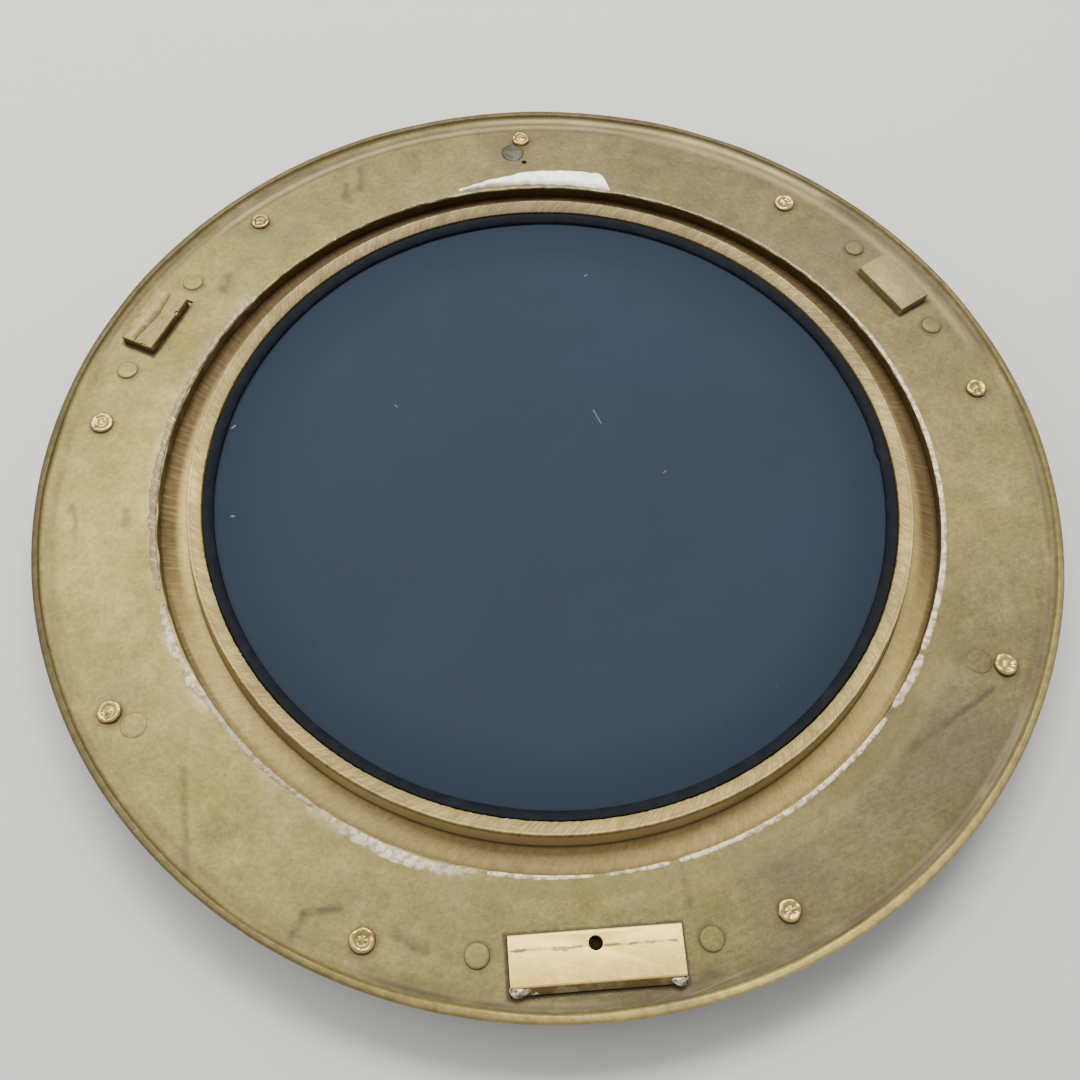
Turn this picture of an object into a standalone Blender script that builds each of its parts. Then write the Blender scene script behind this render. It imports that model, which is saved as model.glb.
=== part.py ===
"""Opening porthole, 380 mm across, lying on its face with the wall side up.

A cast brass flange carries a hinged glazed sash.  Three brackets are riveted to the front of
the flange, and each has a tenon that comes out through a slot at the back: one holds the hinge
pin, the other two hold the swing bolts (dogs).  The dogs lie swung out of the ears of the sash.

Frame: metres, +Z is the wall side, Z = 0 is the surface that the sash lies on, and the
Z axis is the centre line of the port.  Hardware is drawn in a local frame whose X runs
outwards from the centre line, whose Y runs around the rim and whose Z is up.
"""

import math

import bmesh
import bpy
from mathutils import Matrix, Vector

MM = 0.001
GAP = 0.3 * MM

# Flange
FLANGE_RADIUS = 190.0 * MM
FLANGE_HOLE_RADIUS = 145.8 * MM
FLANGE_FRONT_Z = 18.7 * MM
FLANGE_BACK_Z = 23.7 * MM
LIP_TOP_Z = 26.0 * MM
RING_STEPS = 64

# Sash
SASH_RADIUS = 160.0 * MM
SASH_BACK_Z = FLANGE_FRONT_Z - GAP
RIDGE_INNER_RADIUS = 129.4 * MM
RIDGE_TOP_Z = 28.2 * MM
SIGHT_RADIUS = 121.5 * MM
REBATE_Z = 15.3 * MM
SEAL_GROOVE = (148.5 * MM, 155.5 * MM, 14.9 * MM)

# Glazing
GLASS_RADIUS = 127.2 * MM
GLASS_THICKNESS = 4.0 * MM
BACKING_THICKNESS = 1.5 * MM
BACKING_TOP_Z = 23.25 * MM
GLAZING_LIP_RADIUS = 125.4 * MM
GLAZING_LIP_THICKNESS = 1.15 * MM

# Brackets
PLATE_FRONT_Z = 16.2 * MM
PLATE_BACK_Z = FLANGE_FRONT_Z - GAP
SLOT_CLEARANCE = 0.4 * MM

# Hinge
HINGE_ANGLE = math.radians(276.6)
HINGE_AXIS_RADIUS = 172.0 * MM
HINGE_AXIS_Z = 10.0 * MM
HINGE_PIN_RADIUS = 3.0 * MM
HINGE_LUG_RADIUS = 6.0 * MM
KNUCKLE_RADIUS = 5.7 * MM
KNUCKLE_HALF_WIDTH = 14.0 * MM
HINGE_LUG_SPAN = (14.4 * MM, 20.4 * MM)
HINGE_TENON = (163.2 * MM, 180.5 * MM, 27.0 * MM, 27.5 * MM)
HINGE_TENON_CHAMFER = 2.4 * MM
HANG_HOLE_RADIUS = 2.3 * MM
HANG_HOLE_X = 167.2 * MM
HINGE_RIVET = (168.1 * MM, 36.6 * MM)

# Dogs: name, angle round the rim, tenon from and to along local X, tenon half width, tenon top
DOGS = (
    ("right", math.radians(36.0), (163.2 * MM, 177.4 * MM, 13.0 * MM, 27.2 * MM)),
    ("left", math.radians(158.6), (165.6 * MM, 179.0 * MM, 13.2 * MM, 28.0 * MM)),
)
DOG_AXIS_RADIUS = 170.0 * MM
DOG_AXIS_Z = 11.7 * MM
DOG_LUG_RADIUS = 4.0 * MM
DOG_LUG_SPAN = (4.6 * MM, 8.6 * MM)
DOG_RIVET = (170.7 * MM, 24.1 * MM)
DOG_SWUNG_OUT = math.radians(73.0)
PIVOT_PIN_RADIUS = 2.0 * MM
EYE_RADIUS = 4.2 * MM
SHANK_RADIUS = 3.0 * MM
BOLT_LENGTH = 26.0 * MM
BORE_CLEARANCE = 0.3 * MM
WASHER_START = 12.0 * MM
WASHER_THICKNESS = 1.4 * MM
WASHER_RADIUS = 6.5 * MM
NUT_START = WASHER_START + WASHER_THICKNESS + GAP
WING_REACH = 15.0 * MM
EAR_Z = (1.5 * MM, 6.0 * MM)
EAR_REACH = 175.5 * MM
EAR_HALF_WIDTH = 9.5 * MM
EAR_SLOT_HALF_WIDTH = 3.5 * MM

# Fasteners and plugs in the flange
SCREWS = (
    (16.8, 173.8 * MM),
    (56.2, 171.8 * MM),
    (96.6, 174.2 * MM),
    (137.1, 174.1 * MM),
    (175.0, 173.0 * MM),
    (214.2, 175.9 * MM),
    (252.6, 176.1 * MM),
    (297.7, 173.1 * MM),
    (337.5, 174.5 * MM),
)
SCREW_SHANK_RADIUS = 3.0 * MM
SCREW_HEAD_RADIUS = 6.5 * MM
RIVET_RADIUS = 4.0 * MM
PLUGS = ((97.6, 165.5 * MM), (217.0, 171.0 * MM), (336.6, 165.8 * MM))
PLUG_RADIUS = 4.6 * MM

# Old sealant at the edge of the opening, on a strip of the back face inside this radius
SEALED_STRIP_RADIUS = 151.0 * MM
BEAD_RADIUS = 147.7 * MM
FILLER_SPAN = (82.5, 107.5)


def start():
    """Empties the file's scene and makes the collections for parts and for cutting shapes."""
    for leftover in list(bpy.data.objects):
        bpy.data.objects.remove(leftover, do_unlink=True)
    collections = []
    for name in ("opening_porthole", "cutters"):
        collection = bpy.data.collections.new(name)
        bpy.context.scene.collection.children.link(collection)
        collections.append(collection)
    return collections


PARTS, CUTTERS = start()


def make_material(name, colour, roughness, metallic):
    material = bpy.data.materials.new(name)
    material.use_nodes = True
    shader = material.node_tree.nodes["Principled BSDF"]
    shader.inputs["Base Color"].default_value = (*colour, 1.0)
    shader.inputs["Roughness"].default_value = roughness
    shader.inputs["Metallic"].default_value = metallic
    material.diffuse_color = (*colour, 1.0)
    return material


CAST_BRASS = make_material("cast_brass", (0.42, 0.35, 0.17), 0.45, 1.0)
SASH_BRASS = make_material("sash_brass", (0.50, 0.40, 0.20), 0.42, 1.0)
PALE_BRASS = make_material("pale_brass", (0.68, 0.58, 0.36), 0.40, 1.0)
BRIGHT_BRASS = make_material("bright_brass", (0.78, 0.62, 0.30), 0.25, 1.0)
BLACK_RUBBER = make_material("black_rubber", (0.025, 0.027, 0.030), 0.75, 0.0)
MIRROR = make_material("mirror", (0.85, 0.87, 0.88), 0.05, 1.0)
SLATE_PAINT = make_material("slate_paint", (0.052, 0.068, 0.090), 0.55, 0.0)
WHITE_SEALANT = make_material("white_sealant", (0.75, 0.73, 0.68), 0.70, 0.0)


# ---------------------------------------------------------------- shapes


def add_object(name, mesh, material):
    """Links a mesh as a sub-part and gives it its material."""
    part = bpy.data.objects.new(name, mesh)
    PARTS.objects.link(part)
    mesh.materials.append(material)
    return part


def add_cutter(name, mesh):
    """Links a mesh that only cuts or joins another, and keeps it out of renders."""
    cutter = bpy.data.objects.new(name, mesh)
    CUTTERS.objects.link(cutter)
    cutter.hide_render = True
    cutter.display_type = "WIRE"
    return cutter


def arc(centre, radius, first, last, steps):
    """Points of a circular arc in a profile plane; the angles are in degrees."""
    points = []
    for i in range(steps + 1):
        angle = math.radians(first + (last - first) * i / steps)
        points.append((centre[0] + radius * math.cos(angle), centre[1] + radius * math.sin(angle)))
    return points


def profile_mesh(name, profile, closed):
    """A line of edges in the XZ plane, for a Screw modifier to turn round the Z axis."""
    mesh = bpy.data.meshes.new(name)
    count = len(profile)
    edges = [(i, (i + 1) % count) for i in range(count if closed else count - 1)]
    mesh.from_pydata([(x, 0.0, z) for x, z in profile], edges, [])
    return mesh


def add_screw(part, steps):
    screw = part.modifiers.new("turned", "SCREW")
    screw.steps = steps
    screw.render_steps = steps
    screw.use_merge_vertices = True
    screw.merge_threshold = 0.00001
    screw.use_smooth_shade = True


def turned_ring(name, profile, material, steps=RING_STEPS):
    """A ring from a closed profile, whose points run down its outer side."""
    part = add_object(name, profile_mesh(name, profile, True), material)
    add_screw(part, steps)
    return part


def turned_solid(name, profile, material, steps):
    """A solid from an open profile that starts and ends on the axis, top to bottom."""
    part = add_object(name, profile_mesh(name, profile, False), material)
    add_screw(part, steps)
    return part


def turned_mesh(name, profile, steps, closed=False):
    """The finished mesh of a turned shape, for a cutter or a piece that is joined to others."""
    holder = bpy.data.objects.new(name, profile_mesh(name, profile, closed))
    CUTTERS.objects.link(holder)
    add_screw(holder, steps)
    mesh = evaluated_mesh(holder)
    bpy.data.objects.remove(holder, do_unlink=True)
    return mesh


def evaluated_mesh(holder):
    depsgraph = bpy.context.evaluated_depsgraph_get()
    return bpy.data.meshes.new_from_object(holder.evaluated_get(depsgraph))


def weld(mesh):
    work = bmesh.new()
    work.from_mesh(mesh)
    bmesh.ops.remove_doubles(work, verts=work.verts, dist=0.000005)
    bmesh.ops.recalc_face_normals(work, faces=work.faces)
    work.to_mesh(mesh)
    work.free()


def plate_mesh(name, outline, thickness, transform):
    """A flat outline with a thickness, centred on its plane and then moved by transform."""
    curve = bpy.data.curves.new(name, "CURVE")
    curve.dimensions = "2D"
    curve.fill_mode = "BOTH"
    curve.extrude = thickness / 2.0
    spline = curve.splines.new("POLY")
    spline.points.add(len(outline) - 1)
    for point, (x, y) in zip(spline.points, outline):
        point.co = (x, y, 0.0, 1.0)
    spline.use_cyclic_u = True
    holder = bpy.data.objects.new(name, curve)
    CUTTERS.objects.link(holder)
    mesh = evaluated_mesh(holder)
    bpy.data.objects.remove(holder, do_unlink=True)
    weld(mesh)
    mesh.transform(transform)
    return mesh


def upright(across):
    """Stands an XY outline up in the XZ plane, with its middle at Y = across."""
    return Matrix.Translation((0.0, across, 0.0)) @ Matrix.Rotation(math.radians(90.0), 4, "X")


def box_mesh(name, low, high):
    mesh = bpy.data.meshes.new(name)
    work = bmesh.new()
    size = [high[i] - low[i] for i in range(3)]
    middle = [(high[i] + low[i]) / 2.0 for i in range(3)]
    place = Matrix.Translation(middle) @ Matrix.Diagonal((*size, 1.0))
    bmesh.ops.create_cube(work, size=1.0, matrix=place)
    work.to_mesh(mesh)
    work.free()
    return mesh


def rod_mesh(name, rods, segments):
    """Closed cylinders in one mesh; each rod is (start, end, radius)."""
    mesh = bpy.data.meshes.new(name)
    work = bmesh.new()
    for start_point, end_point, radius in rods:
        along = Vector(end_point) - Vector(start_point)
        turn = along.to_track_quat("Z", "Y").to_matrix().to_4x4()
        place = Matrix.Translation((Vector(start_point) + Vector(end_point)) / 2.0) @ turn
        bmesh.ops.create_cone(
            work,
            cap_ends=True,
            segments=segments,
            radius1=radius,
            radius2=radius,
            depth=along.length,
            matrix=place,
        )
    work.to_mesh(mesh)
    work.free()
    return mesh


def rounded_outline(low_x, high_x, half_width, corner, steps=4):
    """A rectangle round the X axis with rounded corners, anticlockwise."""
    points = []
    points += arc((high_x - corner, half_width - corner), corner, 0, 90, steps)
    points += arc((low_x + corner, half_width - corner), corner, 90, 180, steps)
    points += arc((low_x + corner, corner - half_width), corner, 180, 270, steps)
    points += arc((high_x - corner, corner - half_width), corner, 270, 360, steps)
    return points


def combine(part, operation, cutter):
    boolean = part.modifiers.new(cutter.name, "BOOLEAN")
    boolean.operation = operation
    boolean.solver = "EXACT"
    boolean.object = cutter


def polar(radius, angle, z=0.0):
    return Vector((radius * math.cos(angle), radius * math.sin(angle), z))


def from_local(point, angle):
    """World position of a point drawn in the local frame of the hardware at an angle."""
    return Matrix.Rotation(angle, 4, "Z") @ Vector(point)


def hang_on(part, pivot):
    """Makes a part a child of the empty on its joint's axis and leaves it where it is."""
    part.parent = pivot
    part.matrix_parent_inverse = pivot.matrix_world.inverted()


def add_pivot(name, location, rotation):
    pivot = bpy.data.objects.new(name, None)
    PARTS.objects.link(pivot)
    pivot.location = location
    pivot.rotation_euler = rotation
    bpy.context.view_layer.update()
    return pivot


# ---------------------------------------------------------------- flange


def flange_profile():
    """Flat ring with a rolled front edge and a small raised lip round its back."""
    mm = MM
    outer = [
        (188.7 * mm, LIP_TOP_Z),
        (189.6 * mm, 25.4 * mm),
        (FLANGE_RADIUS, 24.3 * mm),
        (FLANGE_RADIUS, 23.2 * mm),
        (189.0 * mm, 21.5 * mm),
        (186.6 * mm, 20.0 * mm),
        (183.2 * mm, 19.0 * mm),
        (179.5 * mm, FLANGE_FRONT_Z),
    ]
    inner = [
        (FLANGE_HOLE_RADIUS, FLANGE_FRONT_Z),
        (FLANGE_HOLE_RADIUS, FLANGE_BACK_Z),
        (SEALED_STRIP_RADIUS, FLANGE_BACK_Z),
        (184.0 * mm, FLANGE_BACK_Z),
        (185.6 * mm, 24.1 * mm),
        (187.0 * mm, 25.7 * mm),
        (187.6 * mm, LIP_TOP_Z),
    ]
    return outer + inner


def tenon_slot(name, angle, tenon):
    """The slot in the flange that a bracket's tenon comes through."""
    low_x, high_x, half_width, _ = tenon
    low = (low_x - SLOT_CLEARANCE, -half_width - SLOT_CLEARANCE, FLANGE_FRONT_Z - MM)
    high = (high_x + SLOT_CLEARANCE, half_width + SLOT_CLEARANCE, FLANGE_BACK_Z + MM)
    slot = add_cutter(name, box_mesh(name, low, high))
    slot.rotation_euler = (0.0, 0.0, angle)
    return slot


def rivet_positions():
    """World positions of the six bracket rivets, two at each bracket."""
    positions = []
    for angle, (x, y) in ((HINGE_ANGLE, HINGE_RIVET), (DOGS[0][1], DOG_RIVET), (DOGS[1][1], DOG_RIVET)):
        for side in (-1.0, 1.0):
            positions.append(from_local((x, side * y, 0.0), angle))
    return positions


def through_rods(positions, radius):
    """Cylinders that run right through the flange, for its round holes."""
    low = Vector((0.0, 0.0, FLANGE_FRONT_Z - MM))
    high = Vector((0.0, 0.0, FLANGE_BACK_Z + MM))
    return [(p + low, p + high, radius) for p in positions]


def make_flange():
    flange = turned_ring("flange", flange_profile(), CAST_BRASS)
    screws = [polar(radius, math.radians(a)) for a, radius in SCREWS]
    plugs = [polar(radius, math.radians(a)) for a, radius in PLUGS]
    rods = through_rods(screws, SCREW_SHANK_RADIUS + BORE_CLEARANCE)
    rods += through_rods(rivet_positions(), RIVET_RADIUS + BORE_CLEARANCE)
    rods += through_rods(plugs, PLUG_RADIUS + BORE_CLEARANCE)
    combine(flange, "DIFFERENCE", add_cutter("flange_holes", rod_mesh("flange_holes", rods, 12)))
    combine(flange, "DIFFERENCE", tenon_slot("slot_hinge", HINGE_ANGLE, HINGE_TENON))
    for name, angle, tenon in DOGS:
        combine(flange, "DIFFERENCE", tenon_slot("slot_" + name, angle, tenon))


def make_flange_screws():
    """Dome-headed screws whose cupped ends show at the back of the flange."""
    mm = MM
    profile = [
        (0.0, 24.4 * mm),
        (2.0 * mm, 25.0 * mm),
        (3.1 * mm, 25.0 * mm),
        (3.7 * mm, 24.5 * mm),
        (3.7 * mm, FLANGE_BACK_Z + GAP),
        (SCREW_SHANK_RADIUS, FLANGE_BACK_Z + GAP),
        (SCREW_SHANK_RADIUS, FLANGE_FRONT_Z - GAP),
        (SCREW_HEAD_RADIUS, FLANGE_FRONT_Z - GAP),
        (SCREW_HEAD_RADIUS, 17.6 * mm),
        (5.6 * mm, 15.9 * mm),
        (3.4 * mm, 14.7 * mm),
        (0.0, 14.3 * mm),
    ]
    for number, (angle, radius) in enumerate(SCREWS, 1):
        screw = turned_solid(f"flange_screw_{number}", profile, PALE_BRASS, 12)
        screw.location = polar(radius, math.radians(angle))


def make_rivets():
    """Rivets that hold the brackets; their ends lie nearly flush at the back."""
    mm = MM
    head_z = PLATE_FRONT_Z - GAP
    profile = [
        (0.0, FLANGE_BACK_Z + 0.4 * mm),
        (3.6 * mm, FLANGE_BACK_Z + 0.4 * mm),
        (RIVET_RADIUS, FLANGE_BACK_Z + 0.1 * mm),
        (RIVET_RADIUS, head_z),
        (5.2 * mm, head_z),
        (4.6 * mm, head_z - 1.1 * mm),
        (2.6 * mm, head_z - 1.9 * mm),
        (0.0, head_z - 2.1 * mm),
    ]
    for number, position in enumerate(rivet_positions(), 1):
        rivet = turned_solid(f"bracket_rivet_{number}", profile, CAST_BRASS, 12)
        rivet.location = position


def make_plugs():
    """Plugs that close the three feeder holes left in the casting."""
    profile = [
        (0.0, FLANGE_BACK_Z + 0.2 * MM),
        (PLUG_RADIUS, FLANGE_BACK_Z + 0.2 * MM),
        (PLUG_RADIUS, FLANGE_FRONT_Z),
        (0.0, FLANGE_FRONT_Z),
    ]
    for number, (angle, radius) in enumerate(PLUGS, 1):
        plug = turned_solid(f"core_plug_{number}", profile, CAST_BRASS, 16)
        plug.location = polar(radius, math.radians(angle))


# ---------------------------------------------------------------- brackets


def bracket_base(name, angle, base, tenon, chamfer, material):
    """A base plate on the front of the flange, joined to the tenon that goes through it."""
    low_x, high_x, half_width, corner = base
    thickness = PLATE_BACK_Z - PLATE_FRONT_Z
    middle = Matrix.Translation((0.0, 0.0, (PLATE_BACK_Z + PLATE_FRONT_Z) / 2.0))
    outline = rounded_outline(low_x, high_x, half_width, corner)
    bracket = add_object(name, plate_mesh(name, outline, thickness, middle), material)
    bracket.rotation_euler = (0.0, 0.0, angle)
    start_x, end_x, tenon_half, top = tenon
    root = PLATE_FRONT_Z + 0.8 * MM
    section = [
        (start_x, root),
        (end_x, root),
        (end_x, top - chamfer),
        (end_x - chamfer, top),
        (start_x + 0.3 * MM, top),
        (start_x, top - 0.3 * MM),
    ]
    block = add_cutter(name + "_tenon", plate_mesh(name, section, 2.0 * tenon_half, upright(0.0)))
    block.rotation_euler = (0.0, 0.0, angle)
    combine(bracket, "UNION", block)
    return bracket


def add_lugs(bracket, angle, axis, radius, span, foot):
    """Two lugs that stand on the base plate either side of the moving piece."""
    outline = arc(axis, radius, 180, 360, 10)
    outline += [(axis[0] + foot, PLATE_BACK_Z - MM), (axis[0] - foot, PLATE_BACK_Z - MM)]
    for side in (-1.0, 1.0):
        across = side * (span[0] + span[1]) / 2.0
        name = f"{bracket.name}_lug_{'a' if side < 0 else 'b'}"
        mesh = plate_mesh(name, outline, span[1] - span[0], upright(across))
        lug = add_cutter(name, mesh)
        lug.rotation_euler = (0.0, 0.0, angle)
        combine(bracket, "UNION", lug)


def bore_bracket(bracket, angle, bore, rivet, extra=()):
    """Cuts the pin bore through the lugs, the two rivet holes and any extra hole."""
    (x, z), radius, reach = bore
    rods = [((x, -reach, z), (x, reach, z), radius), *extra]
    for side in (-1.0, 1.0):
        low = (rivet[0], side * rivet[1], PLATE_FRONT_Z - MM)
        high = (rivet[0], side * rivet[1], PLATE_BACK_Z + MM)
        rods.append((low, high, RIVET_RADIUS + BORE_CLEARANCE))
    name = bracket.name + "_bores"
    holes = add_cutter(name, rod_mesh(name, rods, 16))
    holes.rotation_euler = (0.0, 0.0, angle)
    combine(bracket, "DIFFERENCE", holes)


def make_hinge_bracket():
    base = (162.0 * MM, 180.0 * MM, 44.0 * MM, 8.0 * MM)
    bracket = bracket_base(
        "hinge_bracket", HINGE_ANGLE, base, HINGE_TENON, HINGE_TENON_CHAMFER, PALE_BRASS
    )
    axis = (HINGE_AXIS_RADIUS, HINGE_AXIS_Z)
    add_lugs(bracket, HINGE_ANGLE, axis, HINGE_LUG_RADIUS, HINGE_LUG_SPAN, 7.5 * MM)
    bore = (axis, HINGE_PIN_RADIUS + BORE_CLEARANCE, 24.0 * MM)
    low = (HANG_HOLE_X, 0.0, 19.5 * MM)
    high = (HANG_HOLE_X, 0.0, 29.0 * MM)
    bore_bracket(bracket, HINGE_ANGLE, bore, HINGE_RIVET, [(low, high, HANG_HOLE_RADIUS)])


def make_dog_bracket(name, angle, tenon):
    base = (162.5 * MM, 180.0 * MM, 29.5 * MM, 7.0 * MM)
    bracket = bracket_base("dog_bracket_" + name, angle, base, tenon, 0.3 * MM, CAST_BRASS)
    axis = (DOG_AXIS_RADIUS, DOG_AXIS_Z)
    add_lugs(bracket, angle, axis, DOG_LUG_RADIUS, DOG_LUG_SPAN, 5.0 * MM)
    bore = (axis, PIVOT_PIN_RADIUS + BORE_CLEARANCE, 12.0 * MM)
    bore_bracket(bracket, angle, bore, DOG_RIVET)


def make_pin(name, centre, angle, radius, lug_end, head):
    """A pin along local Y with a domed head outside each lug."""
    mm = MM
    inner = lug_end + GAP
    profile = [
        (0.0, inner + 1.6 * mm),
        (head * 0.7, inner + 1.3 * mm),
        (head, inner + 0.5 * mm),
        (head, inner),
        (radius, inner),
    ]
    profile += [(x, -z) for x, z in reversed(profile)]
    pin = turned_solid(name, profile, BRIGHT_BRASS, 16)
    pin.location = from_local(centre, angle)
    pin.rotation_euler = (math.radians(90.0), 0.0, angle)


# ---------------------------------------------------------------- sash and glazing


def sash_profile():
    """Ridge round the glazing, seal groove, and a rounded bezel with a flat front."""
    mm = MM
    groove_in, groove_out, groove_z = SEAL_GROOVE
    back = [
        (134.4 * mm, RIDGE_TOP_Z),
        (135.6 * mm, SASH_BACK_Z),
        (groove_in, SASH_BACK_Z),
        (groove_in, groove_z),
        (groove_out, groove_z),
        (groove_out, SASH_BACK_Z),
        (159.4 * mm, SASH_BACK_Z),
        (SASH_RADIUS, SASH_BACK_Z - 0.6 * mm),
    ]
    bezel = [
        (SASH_RADIUS, 12.5 * mm),
        (158.8 * mm, 9.0 * mm),
        (155.6 * mm, 5.2 * mm),
        (151.0 * mm, 1.8 * mm),
        (146.0 * mm, 0.0),
        (138.0 * mm, 0.0),
        (133.5 * mm, 1.6 * mm),
        (128.0 * mm, 6.0 * mm),
        (123.5 * mm, 11.0 * mm),
        (SIGHT_RADIUS, 13.2 * mm),
    ]
    rebate = [
        (SIGHT_RADIUS, REBATE_Z),
        (RIDGE_INNER_RADIUS, REBATE_Z),
        (RIDGE_INNER_RADIUS, RIDGE_TOP_Z - 1.9 * mm),
        (RIDGE_INNER_RADIUS + 0.6 * mm, RIDGE_TOP_Z - 1.4 * mm),
    ]
    return back + bezel + rebate


def knuckle_mesh():
    """The barrel of the sash on the hinge pin, with the arm that runs into the sash."""
    mm = MM
    outline = arc((HINGE_AXIS_RADIUS, HINGE_AXIS_Z), KNUCKLE_RADIUS, -90, 90, 10)
    outline += [(160.0 * mm, 14.3 * mm), (150.0 * mm, 14.3 * mm)]
    outline += [(150.0 * mm, HINGE_AXIS_Z - KNUCKLE_RADIUS)]
    return plate_mesh("knuckle", outline, 2.0 * KNUCKLE_HALF_WIDTH, upright(0.0))


def ear_meshes(name):
    """A slotted ear on the sash and the rib that backs it."""
    mm = MM
    thickness = EAR_Z[1] - EAR_Z[0]
    middle = Matrix.Translation((0.0, 0.0, (EAR_Z[0] + EAR_Z[1]) / 2.0))
    centre_x = DOG_AXIS_RADIUS
    slot = arc((centre_x, 0.0), EAR_SLOT_HALF_WIDTH, 270, 90, 10)
    outline = slot + [(EAR_REACH, EAR_SLOT_HALF_WIDTH)]
    outline += arc((EAR_REACH - 3.0 * mm, EAR_HALF_WIDTH - 3.0 * mm), 3.0 * mm, 0, 90, 4)
    outline += [(141.0 * mm, EAR_HALF_WIDTH), (141.0 * mm, -EAR_HALF_WIDTH)]
    outline += arc((EAR_REACH - 3.0 * mm, 3.0 * mm - EAR_HALF_WIDTH), 3.0 * mm, 270, 360, 4)
    outline += [(EAR_REACH, -EAR_SLOT_HALF_WIDTH)]
    ear = plate_mesh("ear_" + name, outline, thickness, middle)
    rib_outline = [
        (142.0 * mm, 4.0 * mm),
        (162.0 * mm, 4.0 * mm),
        (162.0 * mm, 6.5 * mm),
        (160.9 * mm, 8.5 * mm),
        (160.9 * mm, 14.2 * mm),
        (142.0 * mm, 14.2 * mm),
    ]
    rib = plate_mesh("rib_" + name, rib_outline, 14.0 * mm, upright(0.0))
    return ear, rib


def make_sash(pivot):
    sash = turned_ring("sash", sash_profile(), SASH_BRASS)
    knuckle = add_cutter("sash_knuckle", knuckle_mesh())
    knuckle.rotation_euler = (0.0, 0.0, HINGE_ANGLE)
    combine(sash, "UNION", knuckle)
    for name, angle, _ in DOGS:
        for label, mesh in zip(("ear", "rib"), ear_meshes(name)):
            addition = add_cutter(f"sash_{label}_{name}", mesh)
            addition.rotation_euler = (0.0, 0.0, angle)
            combine(sash, "UNION", addition)
    low = (HINGE_AXIS_RADIUS, -16.0 * MM, HINGE_AXIS_Z)
    high = (HINGE_AXIS_RADIUS, 16.0 * MM, HINGE_AXIS_Z)
    rods = [(low, high, HINGE_PIN_RADIUS + BORE_CLEARANCE)]
    bore = add_cutter("sash_bore", rod_mesh("sash_bore", rods, 16))
    bore.rotation_euler = (0.0, 0.0, HINGE_ANGLE)
    combine(sash, "DIFFERENCE", bore)
    hang_on(sash, pivot)


def make_glazing(pivot):
    """Mirror glass and backing disc, held at the edge by a channel of black rubber."""
    mm = MM
    backing_low = BACKING_TOP_Z - BACKING_THICKNESS
    glass_top = backing_low - GAP
    glass_low = glass_top - GLASS_THICKNESS
    for name, low, top, material in (
        ("mirror_glass", glass_low, glass_top, MIRROR),
        ("backing_disc", backing_low, BACKING_TOP_Z, SLATE_PAINT),
    ):
        profile = [(0.0, top), (GLASS_RADIUS, top), (GLASS_RADIUS, low), (0.0, low)]
        hang_on(turned_solid(name, profile, material, RING_STEPS), pivot)
    outer = RIDGE_INNER_RADIUS - GAP
    lip = GLAZING_LIP_RADIUS
    web = GLASS_RADIUS + GAP
    back_low = BACKING_TOP_Z + GAP
    gasket = [
        (outer, back_low + GLAZING_LIP_THICKNESS + 1.3 * mm),
        (outer, REBATE_Z + GAP),
        (lip, REBATE_Z + GAP),
        (lip, glass_low - GAP),
        (web, glass_low - GAP),
        (web, back_low),
        (lip, back_low),
        (lip, back_low + GLAZING_LIP_THICKNESS),
    ]
    hang_on(turned_ring("glazing_gasket", gasket, BLACK_RUBBER), pivot)


def make_port_seal(pivot):
    """Rubber ring in the groove of the sash that closes on the front of the flange."""
    groove_in, groove_out, groove_z = SEAL_GROOVE
    edge = 0.7 * MM
    profile = [
        (groove_out - GAP - edge, SASH_BACK_Z),
        (groove_out - GAP, SASH_BACK_Z - edge),
        (groove_out - GAP, groove_z + GAP),
        (groove_in + GAP, groove_z + GAP),
        (groove_in + GAP, SASH_BACK_Z - edge),
        (groove_in + GAP + edge, SASH_BACK_Z),
    ]
    hang_on(turned_ring("port_seal", profile, BLACK_RUBBER), pivot)


# ---------------------------------------------------------------- dogs


def make_swing_bolt(name, pivot):
    """An eye bolt drawn along local +Z from the centre of its eye."""
    eye = [((0.0, -EYE_RADIUS, 0.0), (0.0, EYE_RADIUS, 0.0), EYE_RADIUS)]
    bolt = add_object("swing_bolt_" + name, rod_mesh("swing_bolt", eye, 24), BRIGHT_BRASS)
    tip = 1.0 * MM
    shank = [
        (0.0, BOLT_LENGTH),
        (SHANK_RADIUS - tip, BOLT_LENGTH),
        (SHANK_RADIUS, BOLT_LENGTH - tip),
        (SHANK_RADIUS, 2.6 * MM),
        (0.0, 2.6 * MM),
    ]
    rod = add_cutter("shank_" + name, turned_mesh("shank", shank, 16))
    bore_radius = PIVOT_PIN_RADIUS + BORE_CLEARANCE
    rods = [((0.0, -6.0 * MM, 0.0), (0.0, 6.0 * MM, 0.0), bore_radius)]
    bore = add_cutter("eye_bore_" + name, rod_mesh("eye_bore", rods, 16))
    for cutter, operation in ((rod, "UNION"), (bore, "DIFFERENCE")):
        cutter.parent = pivot
        combine(bolt, operation, cutter)
    bolt.parent = pivot


def make_washer(name, pivot):
    low = WASHER_START
    top = WASHER_START + WASHER_THICKNESS
    inner = SHANK_RADIUS + BORE_CLEARANCE
    profile = [(WASHER_RADIUS, top), (WASHER_RADIUS, low), (inner, low), (inner, top)]
    washer = turned_ring("dog_washer_" + name, profile, BRIGHT_BRASS, 20)
    washer.parent = pivot


def wing_outline():
    """Both wings and the bridge between them, in the plane of the bolt: local Y across, Z along."""
    mm = MM
    low = NUT_START + 2.0 * mm
    right = [(4.0 * mm, low)]
    right += arc((WING_REACH - 4.2 * mm, low + 5.8 * mm), 4.2 * mm, -75, 95, 8)
    right += [(6.0 * mm, low + 6.3 * mm), (4.0 * mm, low + 5.6 * mm)]
    left = [(-x, z) for x, z in reversed(right)]
    return right + left


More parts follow.
